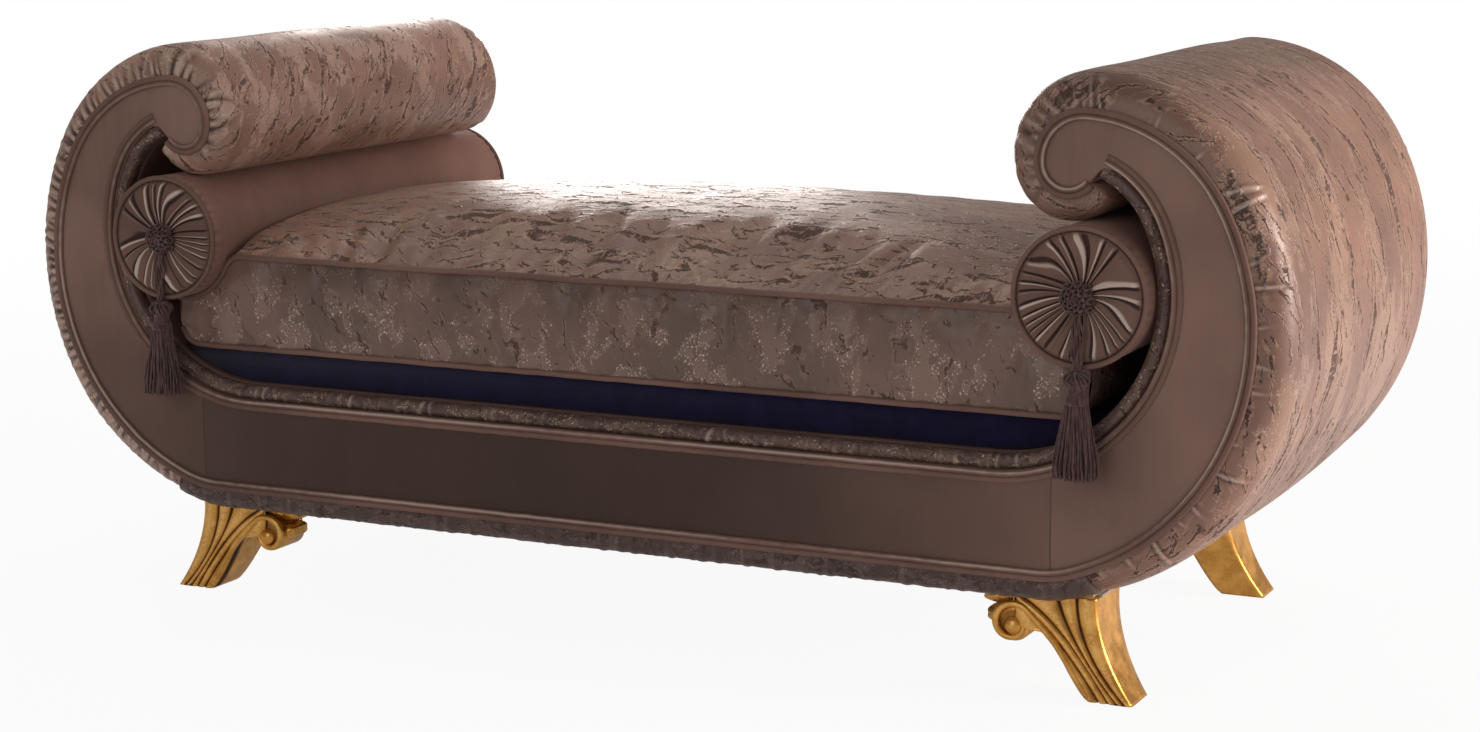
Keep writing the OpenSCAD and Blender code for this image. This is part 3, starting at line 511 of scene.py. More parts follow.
def makeJacquard(name, figure, ground=(0.275, 0.152, 0.113), patch=(0.55, 0.355, 0.255),
                 patchLift=0.3, line=(0.05, 0.022, 0.015), lineMix=0.8, sparkle=0.4,
                 relief=0.0011, crestFrom=9.0, glintBelow=9.0, lowLift=0.0,
                 cloud=0.2, dull=0.0):
    # figure: the sizes that the crackle group takes
    threadTint, crestShadeTint = (0.08, 0.04, 0.028, 1), (0.09, 0.043, 0.03, 1)
    paintedGlintTint = (0.85, 0.7, 0.6, 1)
    material, tree, shader = newMaterial(
        name, Roughness=0.4, Sheen_Weight=0.12, Sheen_Roughness=0.4, Specular_IOR_Level=0.5)
    shader.inputs["Sheen Tint"].default_value = (1.0, 0.78, 0.66, 1)
    cloth = addNode(tree, "ShaderNodeUVMap", uv_map="cloth").outputs["UV"]
    height = apart(tree, coordinates(tree, "Object"))["Z"]
    # crest: 0 below crestFrom, 1 some 9 cm above; it makes the lines denser, and further down it
    # darkens the colour as painted shade on the arm's top
    crest = ramp(tree, height, crestFrom, crestFrom + 0.09)
    found = placeGroup(tree, barkCrackle, {"Vector": cloth, "Crest": crest, **figure}).outputs
    # soft light and dark patches from noise: painted shade of loose folds in the cloth; cloud sets
    # how strong
    tint = blendColours(tree, ramp(tree, cloudNoise(tree, cloth, 6.0, 4.0), 0.3, 0.7),
                        tinted(ground, 1 - cloud), tinted(ground, 1 + 0.75 * cloud))
    # low: full below glintBelow, a quarter above; it keeps the patches and the painted glints low
    # down, and lowLift lightens the lower part as painted light
    low = ramp(tree, height, glintBelow, glintBelow - 0.07, 0.25, 1.0)
    patches = times(tree, times(tree, found["Patches"], patchLift), low)
    tint = blendColours(tree, patches, tint, (*patch, 1))
    tint = blendColours(tree, times(tree, low, lowLift), tint, (*patch, 1))
    tint = blendColours(tree, ramp(tree, found["Threads"], 0.3, 0.75, 0.0, 0.2),
                        tint, threadTint)
    # painted shade: the cloth high on the arm is darkened
    tint = blendColours(tree, times(tree, crest, 0.9), tint, crestShadeTint)
    tint = blendColours(tree, times(tree, found["Rims"], 0.4), tint, (*patch, 1))
    tint = blendColours(tree, times(tree, found["Lines"], lineMix), tint, (*line, 1))
    # painted glints: small bright flecks along the patches' rims
    sparks = times(tree, times(tree, found["Sparks"], sparkle), low)
    tint = blendColours(tree, sparks, tint, paintedGlintTint)
    # painted shade in fold bottoms and a painted highlight on ridges, from the fold marks
    tint = placeGroup(tree, foldShade, {"Colour": tint, "Dark": 0.85,
                                        "Light": 0.4}).outputs["Colour"]
    tree.links.new(tint, shader.inputs["Base Color"])
    rough = plus(tree, ramp(tree, found["Threads"], 0.3, 0.7, 0.32, 0.46),
                 times(tree, found["Lines"], 0.3))
    rough = minus(tree, rough, times(tree, found["Patches"], 0.05))
    rough = calc(tree, "MULTIPLY_ADD", crest, 0.15, plus(tree, rough, dull))
    tree.links.new(rough, shader.inputs["Roughness"])
    raised = minus(tree, times(tree, found["Rims"], 0.5), times(tree, found["Lines"], 0.8))
    for label, share in (("Threads", 0.15), ("Patches", 0.25), ("Sparks", 0.3)):
        raised = plus(tree, raised, times(tree, found[label], share))
    bumpInto(tree, shader, raised, 0.7, relief)
    return material


def makeYarn(name, base):
    material, tree, shader = newMaterial(name, Roughness=0.7, Sheen_Weight=0.3,
                                         Specular_IOR_Level=0.25)
    place = coordinates(tree, "Object")
    grain = placeGroup(tree, clothGrain, {"Vector": place, "Streak Scale": 260.0, "Stretch": 0.3})
    tint = blendColours(tree, ramp(tree, grain.outputs["Streaks"], 0.3, 0.7),
                        tinted(base, 0.45), tinted(base, 1.6))
    tree.links.new(tint, shader.inputs["Base Color"])
    twist = addNode(tree, "ShaderNodeTexWave", {"Vector": place, "Scale": 420.0,
                                                "Distortion": 2.0, "Detail": 1.0},
                    bands_direction="DIAGONAL")
    height = plus(tree, twist.outputs["Fac"], grain.outputs["Specks"])
    bumpInto(tree, shader, height, 0.5, 0.0006)
    return material


def makeGilt():
    material, tree, shader = newMaterial("giltShadeAndHighlight", Metallic=0.7, Roughness=0.33,
                                         Specular_IOR_Level=0.5)
    place = coordinates(tree, "Object")
    cloudy = cloudNoise(tree, place, 38.0, 5.0, 0.62)
    fine = cloudNoise(tree, place, 420.0, 3.0)
    darkGold, lightGold = (0.62, 0.3, 0.055, 1), (0.9, 0.5, 0.13, 1)
    recessShadeTint, ridgeHighlightTint = (0.06, 0.022, 0.007, 1), (0.95, 0.62, 0.24, 1)
    gold = blendColours(tree, ramp(tree, cloudy, 0.35, 0.7), darkGold, lightGold)
    mark = addNode(tree, "ShaderNodeAttribute", attribute_name="fold").outputs["Fac"]
    # painted shade: the recesses marked on the mesh are darkened
    recess = ramp(tree, plus(tree, mark, times(tree, cloudy, 0.25)), 0.1, -0.75)
    gold = blendColours(tree, recess, gold, recessShadeTint)
    # painted highlight: the ridges marked on the mesh are lightened
    ridgeHighlight = times(tree, ramp(tree, mark, 0.35, 1.0), ramp(tree, fine, 0.4, 0.6))
    gold = blendColours(tree, times(tree, ridgeHighlight, 0.7), gold, ridgeHighlightTint)
    tree.links.new(gold, shader.inputs["Base Color"])
    rough = plus(tree, ramp(tree, cloudy, 0.3, 0.75, 0.24, 0.42), times(tree, recess, 0.3))
    tree.links.new(rough, shader.inputs["Roughness"])
    height = plus(tree, cloudy, times(tree, fine, 0.15))
    bumpInto(tree, shader, height, 0.3, 0.0012)
    return material


def makeTimber(name, base, ringScale):
    material, tree, shader = newMaterial(name, Roughness=0.6, Specular_IOR_Level=0.35)
    place = coordinates(tree, "Object")
    drawn = vectorCalc(tree, "MULTIPLY", place, (6.0, 6.0, ringScale))
    rings = cloudNoise(tree, drawn, 6.0, 6.0, 0.65)
    tint = blendColours(tree, ramp(tree, rings, 0.3, 0.7),
                        tinted(base, 0.6), (*base, 1))
    tree.links.new(tint, shader.inputs["Base Color"])
    bumpInto(tree, shader, rings, 0.25, 0.001)
    return material


def makeCloth(name, base, scale, rough=0.85):
    material, tree, shader = newMaterial(name, Roughness=rough, Sheen_Weight=0.1,
                                         Specular_IOR_Level=0.2)
    place = coordinates(tree, "Object")
    warp, weft = (addNode(tree, "ShaderNodeTexWave", {
        "Vector": place, "Scale": scale, "Distortion": 0.6}, bands_direction=way).outputs["Fac"]
        for way in "XY")
    weave = times(tree, warp, weft)
    grain = placeGroup(tree, clothGrain, {"Vector": place, "Streak Scale": 30.0, "Stretch": 1.0})
    tint = blendColours(tree, ramp(tree, grain.outputs["Streaks"], 0.3, 0.7),
                        tinted(base, 0.7), tinted(base, 1.25))
    tree.links.new(tint, shader.inputs["Base Color"])
    bumpInto(tree, shader, weave, 0.4, 0.0008)
    return material


def makeSteel():
    material, tree, shader = newMaterial("zincSteel", Metallic=1.0, Roughness=0.4)
    place = coordinates(tree, "Object")
    cloudy = cloudNoise(tree, place, 90.0, 4.0)
    tint = blendColours(tree, cloudy, (0.36, 0.37, 0.39, 1), (0.6, 0.61, 0.62, 1))
    tree.links.new(tint, shader.inputs["Base Color"])
    tree.links.new(ramp(tree, cloudy, 0.3, 0.7, 0.3, 0.5), shader.inputs["Roughness"])
    return material


velvet = makeVelvet("taupeVelvet", (0.25, 0.154, 0.125), seam=0.643)
# a darker copy of the facings' velvet: painted shade for the lining in the throats and over the
# deck
shadedLiningVelvet = makeVelvet("shadedLiningVelvet", (0.17, 0.095, 0.076), streakScale=80.0)
# a lighter copy of the facings' velvet: painted light on the bolster rolls
bolsterVelvet = makeVelvet("bolsterVelvet", (0.31, 0.178, 0.145), streakScale=80.0)
# a darker copy of the facings' velvet: painted shade on the pleated ends; its ridge setting paints
# the highlights on the pleats' raised folds
shadedPleatVelvet = makeVelvet("shadedPleatVelvet", (0.19, 0.112, 0.09), streakScale=400.0, ridge=0.75)
# its ridge setting is how strongly the welts' painted highlight shows
weltVelvet = makeVelvet("weltVelvet", (0.19, 0.112, 0.09), streakScale=200.0, ridge=0.45,
                        lift=(0.8, 0.6, 0.5))
coverJacquard = makeJacquard("coverJacquard", {
    "Length": 0.42, "Width": 0.034, "Line Width": 0.021, "Broken": 0.43, "Slant": 0.04,
    "Patch Size": 0.10, "Patch Stretch": 2.4}, crestFrom=0.73, lineMix=0.9, cloud=0.25)
# a lighter copy of the covers' jacquard, with its figure slanted: painted light on the left roll
rollJacquard = makeJacquard("rollJacquard", {
    "Length": 0.18, "Width": 0.032, "Line Width": 0.027, "Broken": 0.45, "Slant": 0.6,
    "Patch Size": 0.08, "Patch Stretch": 1.5}, ground=(0.36, 0.207, 0.157),
    patch=(0.68, 0.48, 0.38), line=(0.07, 0.029, 0.021), lineMix=0.8, patchLift=0.42, cloud=0.3)
seatJacquard = makeJacquard("seatJacquard", {
    "Length": 0.16, "Width": 0.032, "Line Width": 0.034, "Broken": 0.47, "Slant": -0.12,
    "Patch Size": 0.08, "Patch Stretch": 2.0}, patchLift=0.25, lineMix=0.85, relief=0.0016,
    cloud=0.25, dull=0.05)
# a darker copy of the seat's jacquard: painted shade on the cushion's boxing, with painted glints
# and a lighter lower part
shadedBoxingJacquard = makeJacquard("shadedBoxingJacquard", {
    "Length": 0.11, "Width": 0.036, "Line Width": 0.024, "Broken": 0.53, "Slant": 0.35,
    "Patch Size": 0.055, "Patch Stretch": 1.3}, ground=(0.145, 0.085, 0.067),
    patch=(0.36, 0.24, 0.19), patchLift=0.4, lineMix=0.7, sparkle=0.95, glintBelow=0.50,
    lowLift=0.22, cloud=0.45)
narrowFigure = {"Length": 0.04, "Width": 0.02, "Line Width": 0.04, "Broken": 0.5, "Slant": 0.0,
                "Patch Size": 0.02, "Patch Stretch": 2.0}
# a darker copy of the covers' jacquard: painted shade on the inner edging; sparkle sets its painted
# glints
shadedEdgeJacquard = makeJacquard(
    "shadedEdgeJacquard", narrowFigure, ground=(0.1, 0.056, 0.044), patch=(0.26, 0.155, 0.12),
    patchLift=0.35, lineMix=0.6, sparkle=0.8)
# a darker copy of the covers' jacquard: painted shade on the base border under the rails
shadedBorderJacquard = makeJacquard(
    "shadedBorderJacquard", narrowFigure, ground=(0.07, 0.038, 0.031), patch=(0.18, 0.11, 0.09),
    patchLift=0.35, lineMix=0.7, sparkle=0.25)
darkYarn = makeYarn("darkYarn", (0.1, 0.05, 0.045))
gilt = makeGilt()
beech = makeTimber("beechTimber", (0.62, 0.46, 0.3), 40.0)
plywood = makeTimber("birchPlywood", (0.7, 0.56, 0.38), 90.0)
# near-black navy: painted shade where it shows in the gap under the cushion; the dust cover under
# the frame is black cloth
shadowCloth = makeCloth("shadowCloth", (0.009, 0.007, 0.045), 900.0)
strapWeave = makeCloth("strapWeave", (0.42, 0.33, 0.22), 500.0)
zincSteel = makeSteel()
glideFelt = makeCloth("glideFelt", (0.04, 0.035, 0.03), 700.0)
print("finishes made")

# facings: velvet panels, softly padded towards their middle
panel = {"puff": 0.0045, "edge": 0.016, "round": 1.4, "across": 22, "step": 0.006,
         "thickness": 0.016}


def matchedInner(outer, inner):
    # pairs each outer point with an inner one, between matching marks on both outlines
    outerAt, innerAt = lengths(outer[:, :2]), lengths(inner[:, :2])

    def upTo(parts, count, extra=0.0):
        rows = tracePath(parts[:count], 0.002)
        done = lengths(rows[:, :2])[-1] if count else 0
        if extra and parts[count][0] == "arc":
            _, _, radius, start, end = parts[count]
            done += abs(math.radians(end - start)) * radius * extra
        return done

    # how far round the scroll and the throat the swell and the widest place lie
    scrollTurn, throatTurn = abs(cornerTurn) + turns["shoulder"], 90 + turns["neck"]
    swell = -turns["swell"]
    marks = [
        (0, 0), (upTo(outerParts, 1), upTo(innerParts, 1)),
        (upTo(outerParts, 2, (abs(cornerTurn) - swell) / scrollTurn),
         upTo(innerParts, 1, (90 - swell) / throatTurn)),
        (upTo(outerParts, 2, abs(cornerTurn) / scrollTurn), upTo(innerParts, 1, 90 / throatTurn)),
        (upTo(outerParts, 3), upTo(innerParts, 2)),
        (upTo(outerParts, 3, 0.55), upTo(innerParts, 2, 0.38)),
        (upTo(outerParts, 4), upTo(innerParts, 2, 0.62)),
        (upTo(outerParts, 4, 0.5), upTo(innerParts, 2, 0.78)),
        (upTo(outerParts, 5), upTo(innerParts, 2, 0.9)),
        (outerAt[-1], innerAt[-1]),
    ]
    wanted = np.interp(outerAt, [m[0] for m in marks], [m[1] for m in marks])
    return np.stack([np.interp(wanted, innerAt, inner[:, k]) for k in range(2)], axis=1)


def makeFacing(name):
    outer = tracePath(outerParts, panel["step"])
    inner = tracePath(innerParts, panel["step"])
    pair = matchedInner(outer, inner)
    shares = easedShares(panel["across"] + 1)
    travelled = lengths(outer[:, :2])
    halves = []
    for i, row in enumerate(outer):
        width = math.dist(row[:2], pair[i])
        toEnd = travelled[-1] - travelled[i]
        front, back = [], []
        for share in shares:
            x, z = row[:2] + (pair[i] - row[:2]) * share
            near = min(share, 1 - share) * width
            rise = 1 - math.exp(-(near / panel["edge"]) ** panel["round"])
            rise *= 1 - math.exp(-(toEnd / panel["edge"]) ** panel["round"])
            puff = panel["puff"] * rise * (1 + 0.25 * softNoise(x, 0, z, 0.12, 3))
            front.append((x, frontY - puff, z))
            back.append((x, frontY + panel["thickness"], z))
        halves.append(front + back[::-1])
    right = np.array(halves)
    left = right[:0:-1] * np.array([-1, 1, 1])
    return loftRings(name, np.vstack([left, right]))


frontAndRear(makeFacing("front_facing_panel"), velvet, "facing")
print("facings made")

# welts: two cords side by side round each facing
welt = {"radius": 0.0042, "step": 0.004, "sides": 10, "pucker": 0.0004}


def sweepSection(name, path, section, wobble):
    # section: (outwards, forwards) pairs; wobble gives more of both, and a mark, at s and k
    travelled = lengths(path[:, :2])
    rings, ringMarks = [], []
    for i, (x, z, nx, nz) in enumerate(path):
        ring, ringMark = [], []
        for k, (out, forward) in enumerate(section):
            moreOut, moreForward, mark = wobble(travelled[i], k)
            o, f = out + moreOut, forward + moreForward
            ring.append((x + nx * o, frontY - f, z + nz * o))
            ringMark.append(mark)
        rings.append(ring)
        ringMarks.append(ringMark)
    around = lengths(np.array(list(section) + [section[0]]))
    return loftRings(name, rings, np.append(travelled, travelled[-1]), around, ringMarks)


def cordSection(centreOut, centreForward, radius, sides):
    return [(centreOut + radius * math.cos(2 * math.pi * k / sides),
             centreForward + radius * math.sin(2 * math.pi * k / sides)) for k in range(sides)]


def makeDoubleWelt(name, parts, offset, seed):
    path = wholePath(parts, welt["step"])
    cords = []
    for side in (-1, 1):
        def wobble(s, k, side=side):
            shift = welt["pucker"] * softNoise(s, side, 0, 0.02, seed)
            # painted highlight: a light line along one side of the inner cord; the small random
            # marks give painted shade and highlight along the puckers
            shine = 0.8 + softNoise(s, side, 5, 0.2, seed) if side < 0 and k == 3 else 0
            return shift, shift * 0.6, 0.25 * softNoise(s, side, 3, 0.012, seed) + shine
        section = cordSection(offset + side * welt["radius"] * 0.9, welt["radius"] * 0.55,
                              welt["radius"], welt["sides"])
        cords.append(sweepSection("cord", path, section, wobble))
    return joinPieces(name, cords)


for edge, parts, offset in (("outer", outerParts, 0.0), ("inner", innerParts, 2 * welt["radius"])):
    frontAndRear(makeDoubleWelt("front_%s_welt_cords" % edge, parts, offset, 5),
                 weltVelvet, "%s_welt" % edge)
print("welts made")

# scroll covers: patterned cloth over padding, gathered at both facings
cover = {
    "out": 0.049, "low": 0.036, "tip": 0.0415, "notch": 0.032, "crown": 0.007, "rounded": 0.060,
    "power": 2.6, "step": 0.0019, "edgePoints": 26, "middlePoints": 24, "backPoints": 8,
    "uneven": 0.0022, "lobeFrom": 0.72, "turnOver": 0.45,
}
pinches = {  # the ranges that the pinches of each kind are drawn from
    "lobe": {"height": (0.0020, 0.0042), "half": (0.0022, 0.0036), "reach": (0.026, 0.062),
             "slant": (-0.3, 0.3), "every": 0.0125, "gap": (0.6, 1.4)},
    "tick": {"height": (0.0022, 0.0040), "half": (0.0022, 0.0034), "reach": (0.016, 0.03),
             "slant": (-0.2, 0.2), "every": 0.048, "gap": (0.5, 1.4)},
    "gather": {"height": (0.0018, 0.0034), "half": (0.0024, 0.0036), "reach": (0.022, 0.045),
               "slant": (-0.25, 0.25), "every": 0.0095, "gap": (0.7, 1.4)},
}


def coverStations():
    # rows of x, z, outward x, outward z, padding height, and how far into the lobe they lie
    rows = []
    # centre, curve, angles from and to, padding from and to, its power, lobe share from and to
    stretches = [
        (scrollC, "scroll", "cover", "swell", "low", "out", 0.6, 0, 0),
        (scrollC, "scroll", "swell", "shoulder", "out", "out", 1, 0, 0),
        (shoulderC, "shoulder", "shoulder", "crest", "out", "out", 1, 0, 0.8),
        (lobeC, "lobe", "crest", "curl", "out", "tip", 1, 0.8, 1),
        (curlC, "curl", "curl", "curlEnd", "tip", "notch", 2, 1, 1),
    ]
    for centre, curve, start, end, fromOut, toOut, power, fromLobe, toLobe in stretches:
        radius, start, end = couch[curve + "Radius"], turns[start], turns[end]
        fromOut, toOut = cover[fromOut], cover[toOut]
        count = int(abs(math.radians(end - start)) * (radius + 0.03) / cover["step"])
        for i in range(1 if rows else 0, count + 1):
            t = i / count
            turn = start + (end - start) * t
            x, z = along(centre, radius, turn)
            rows.append((x, z, math.cos(math.radians(turn)), math.sin(math.radians(turn)),
                         fromOut + (toOut - fromOut) * t ** power,
                         fromLobe + (toLobe - fromLobe) * t))
    return np.array(rows)


def foldList(length, lobeAt, sparse, maker):
    # where the cloth is pinched along one edge: place, height, half width, reach, slant
    folds, s = [], 0.02
    while s < length - 0.01:
        kind = "lobe" if s > lobeAt else "tick" if sparse else "gather"
        ranges, ticking = pinches[kind], kind == "tick"
        big = ticking and maker.random() < 0.3
        height, half, reach, slant = (maker.uniform(*ranges[size])
                                      for size in ("height", "half", "reach", "slant"))
        if kind == "lobe":  # a crease, where the others are ridges
            height = -height
        folds.append((s, height * (1.3 if big else 1), half, reach + 0.02 * big, slant))
        if ticking and maker.random() < 0.4:  # a small twin beside it
            folds.append((s + 0.008, 0.0016, 0.0024, 0.018, 0.1))
        s += ranges["every"] * maker.uniform(*ranges["gap"])
    return folds


def foldHeights(s, d, folds):
    # s: along the edge, d: away from it; a ridge with a valley on each side, or the other way round
    total = np.zeros(np.broadcast(s, d).shape)
    for at, height, half, reach, slant in folds:
        t = (s - at - slant * d) / (half * (1 + 6 * d))
        near = np.clip(d / 0.006, 0.35, 1)
        total += height * (1 - t ** 2) * np.exp(-t ** 2 / 2) * near * np.exp(-(d / reach) ** 2)
    return total


def coverSection():
    quarter = np.linspace(0, math.pi / 2, cover["edgePoints"])
    rise = np.sin(quarter) ** (2 / cover["power"])
    run = cover["rounded"] * (1 - np.cos(quarter) ** (2 / cover["power"]))
    middle = np.linspace(cover["rounded"], depth - cover["rounded"],
                         cover["middlePoints"] + 2)[1:-1]
    ys = np.concatenate([run, middle, depth - run[::-1]])
    hs = np.concatenate([rise, np.ones(len(middle)), rise[::-1]])
    return ys, hs


def makeCover(name, side, sparse, seed):
    maker = random.Random(seed)
    rows = coverStations()
    ys, hs = coverSection()
    travelled = lengths(rows[:, :2])
    nominal = np.stack([ys, hs * cover["out"]], axis=1)
    across = lengths(nominal)
    fromFront, fromRear = across, across[-1] - across
    lobeAt = travelled[np.argmax(rows[:, 5] > cover["lobeFrom"])]
    s = travelled[:, None]
    bend = 1 - (2 * ys / depth - 1) ** 2
    # the lobe's underside, where it rests over the bolster, is pressed smooth
    pressed = rows[:, 5:6] * np.clip((-rows[:, 3:4] - 0.75) / 0.15, 0, 1)
    flatter = 1 - np.maximum(0.85 * rows[:, 5:6], pressed)
    height = rows[:, 4:5] * hs + cover["crown"] * hs * bend * flatter
    fold = foldHeights(s, fromFront[None, :], foldList(travelled[-1], lobeAt, sparse, maker))
    fold += foldHeights(s, fromRear[None, :], foldList(travelled[-1], lobeAt, sparse, maker))
    fade = np.clip(rows[:, 4:5] / 0.03, 0.3, 1)
    fold = fold * fade * (1 - pressed)
    surface = np.zeros_like(fold)
    for i in range(len(rows)):
        for j in range(len(ys)):
            surface[i, j] = softNoise(travelled[i], ys[j], 0, 0.16, seed) * cover["uneven"] * hs[j]
    height = height + fold + surface * (1 - pressed)
    x = (rows[:, 0:1] + rows[:, 2:3] * height) * side
    z = rows[:, 1:2] + rows[:, 3:4] * height
    # the padding turns over in a tighter round at the lobes
    edge = cover["rounded"]
    pull = np.interp(ys, [0, edge, depth - edge, depth], [0, -edge, edge, 0])
    y = frontY + ys + cover["turnOver"] * rows[:, 5:6] * pull
    shell = np.stack([x, y, z], axis=2)
    # the hidden back lies on the bent skin
    size = (len(rows), cover["backPoints"])
    backYs = np.linspace(ys[-1] - 0.002, ys[0] + 0.002, size[1])
    back = np.stack([np.broadcast_to(rows[:, 0:1] * side, size),
                     np.broadcast_to(frontY + backYs, size),
                     np.broadcast_to(rows[:, 1:2], size)], axis=2)
    rings = np.concatenate([shell, back], axis=1)
    outside = lengths(np.stack([rows[:, 0] + rows[:, 2] * rows[:, 4],
                                rows[:, 1] + rows[:, 3] * rows[:, 4]], axis=1))
    # the marks: painted shade in the folds' valleys and a painted highlight on their ridges
    usualFold = (0.0026 if sparse else 0.0017) * (1 + 0.6 * rows[:, 5:6])
    marks = np.concatenate([fold / usualFold, np.zeros(size)], axis=1)
    vs = np.concatenate([across, across[-1] + np.arange(1, size[1] + 2) * 0.1])
    return loftRings(name, rings, np.append(outside, outside[-1]) + seed * 1.7, vs, marks)


for side, word in ((-1, "left"), (1, "right")):
    piece = makeCover("%s_scroll_upholstery" % word, side, side > 0, 11 + side)
    dress(piece, coverJacquard if side > 0 else rollJacquard, "frame",
          ["%s_scroll_cover" % word, "%s_scroll_padding" % word])
print("covers made")

# base border: the padded edge under each rail
border = {"out": 0.036, "depth": 0.044, "rounded": 0.020, "step": 0.0026, "pucker": 0.0013,
          "height": (0.4, 1.3), "half": (0.003, 0.007), "gap": (0.012, 0.045)}


def borderSection():
    r, out, back = border["rounded"], border["out"], border["depth"]
    corner = [(out - r + r * math.cos(t), -r + r * math.sin(t))
              for t in np.linspace(math.pi / 2, 0, 9)]
    run = [(out * k / 8, 0.0) for k in range(1, 4)]
    return [(0.0, 0.0)] + run + corner + [(out, -back * 0.7), (out, -back), (0.0, -back)]


def makeBorder(name, seed):
    maker = random.Random(seed)
    half = tracePath(outerParts[:2], border["step"])
    rest = tracePath([("arc", scrollC, couch["scrollRadius"], cornerTurn, turns["cover"])],
                     border["step"])
    path = bothHalves(np.vstack([half, rest[1:]]))
    length = lengths(path[:, :2])[-1]
    folds, s = [], 0.01
    while s < length:
        folds.append((s, maker.uniform(*border["height"]), maker.uniform(*border["half"]), 0.0))
        s += maker.uniform(*border["gap"])
    section = borderSection()

    def wobble(s, k):
        out, forward = section[k]
        if out <= 0.001:
            return 0, 0, 0
        rise = pinchAt(folds, s) + 0.8 * softNoise(s, out, forward, 0.03, seed)
        # the mark: painted shade and highlight on the puckers
        return border["pucker"] * rise * 0.5, border["pucker"] * rise * 0.5, rise * 0.22

    return sweepSection(name, path, section, wobble)


frontAndRear(makeBorder("front_base_border_roll", 21), shadedBorderJacquard, "base_border")

# inner edging: a gathered roll between the facing and the seat's hollow
edging = {"width": 0.019, "bulge": 0.003, "back": 0.016, "step": 0.0024, "pucker": 0.0009,
          "every": 0.019, "height": (0.5, 1.4), "half": (0.0025, 0.005), "slant": (-0.4, 0.4),
          "gap": (0.5, 1.6)}


def makeEdging(name, seed):
    maker = random.Random(seed)
    path = wholePath(innerParts, edging["step"])
    length = lengths(path[:, :2])[-1]
    half = edging["width"] / 2
    section = [(-half + half * math.cos(t), edging["bulge"] - half + half * math.sin(t))
               for t in np.linspace(0, math.pi, 13)]
    section += [(-edging["width"], -edging["back"]), (-0.0003, -edging["back"])]
    folds, s = [], 0.0
    while s < length:
        folds.append((s, *(maker.uniform(*edging[size]) for size in ("height", "half", "slant"))))
        s += edging["every"] * maker.uniform(*edging["gap"])

    def quiet(s):
        # the gathers show along the rail and lie almost flat in the throats
        away = abs(s - length / 2) - couch["scrollX"]
        return 1 - 0.8 * min(max(away / 0.08, 0), 1)

    def wobble(s, k):
        out, forward = section[k]
        if forward <= -edging["back"]:
            return 0, 0, 0
        rise = pinchAt(folds, s, out + half) + 0.9 * softNoise(s, out, forward, 0.012, seed)
        rise *= quiet(s)
        # painted glints: in sparse stretches the gathers' ridges are marked lighter
        glint = min(max(3 * softNoise(s, 0, 1, 0.09, seed), 0), 1)
        return 0.3 * edging["pucker"] * rise, edging["pucker"] * rise, rise * (0.15 + 0.6 * glint)

    return sweepSection(name, path, section, wobble)


frontAndRear(makeEdging("front_inner_edging_roll", 31), shadedEdgeJacquard, "inner_edging")
print("edgings made")

# lining: velvet from tip to tip, over the throats and the deck
lining = {"thickness": 0.019, "inset": 0.016, "step": 0.010, "rows": 60}


def makeLining(name):
    path = wholePath(innerParts, lining["step"])
    travelled = lengths(path[:, :2])
    ys = np.linspace(frontY + lining["inset"], rearY - lining["inset"], lining["rows"])
    rings = []
    for i, (x, z, nx, nz) in enumerate(path):
        front, back = [], []
        for y in ys:
            pull = softNoise(travelled[i] * 0.4, y, 0, 0.05, 4) * 0.0008
            pull += softNoise(travelled[i], y, 0, 0.2, 6) * 0.0012
            out = -(lining["thickness"] + min(pull, 0.0002))
            front.append((x + nx * out, y, z + nz * out))
            back.append((x, y, z))
        rings.append(front + back[::-1])
    return loftRings(name, rings)


seatLining = makeLining("seat_lining")
dress(seatLining, shadedLiningVelvet, "frame",
      ["left_throat_lining", "right_throat_lining", "deck_pad"])

# platform: the cloth box that lifts the cushion, in a near-black navy that is painted shade in the
# gap under the cushion
platform = {"round": 0.006}


def makePlatform(name):
    low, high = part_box("platform_cover")
    radius = throatRadius - lining["thickness"] - 0.0004
    angles = [math.degrees(math.asin((throatC[1] - z) / radius))
              for z in (high[2], low[2])]
    side = [along(throatC, radius, -a) for a in np.linspace(angles[1], angles[0], 10)]
    outline = side + [(-x, z) for x, z in side[::-1]]
    ys = [low[1], low[1] + 0.002, low[1] + platform["round"]]
    ys += list(np.linspace(low[1] + 0.05, high[1] - 0.05, 12))
    ys += [high[1] - platform["round"], high[1] - 0.002, high[1]]
    rings = []
    for y in ys:
        away = min(y - low[1], high[1] - y)
        inset = 0.004 * max(0, 1 - away / platform["round"]) ** 2
        middle = (low[2] + high[2]) / 2
        squeeze = 1 - inset / (middle - low[2])
        rings.append([(x - math.copysign(inset, x), y, middle + (z - middle) * squeeze)
                      for x, z in outline])
    return loftRings(name, rings)


seatPlatform = makePlatform("seat_platform_cloth")
dress(seatPlatform, shadowCloth, "frame", ["platform_cover", "platform_core"])

# dust cover: black cloth tacked under the frame, cut away at the four leg blocks
dustLow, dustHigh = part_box("dust_cover")
dust = {"wide": couch["scrollX"] - 0.001, "border": 0.045, "notch": 0.140}


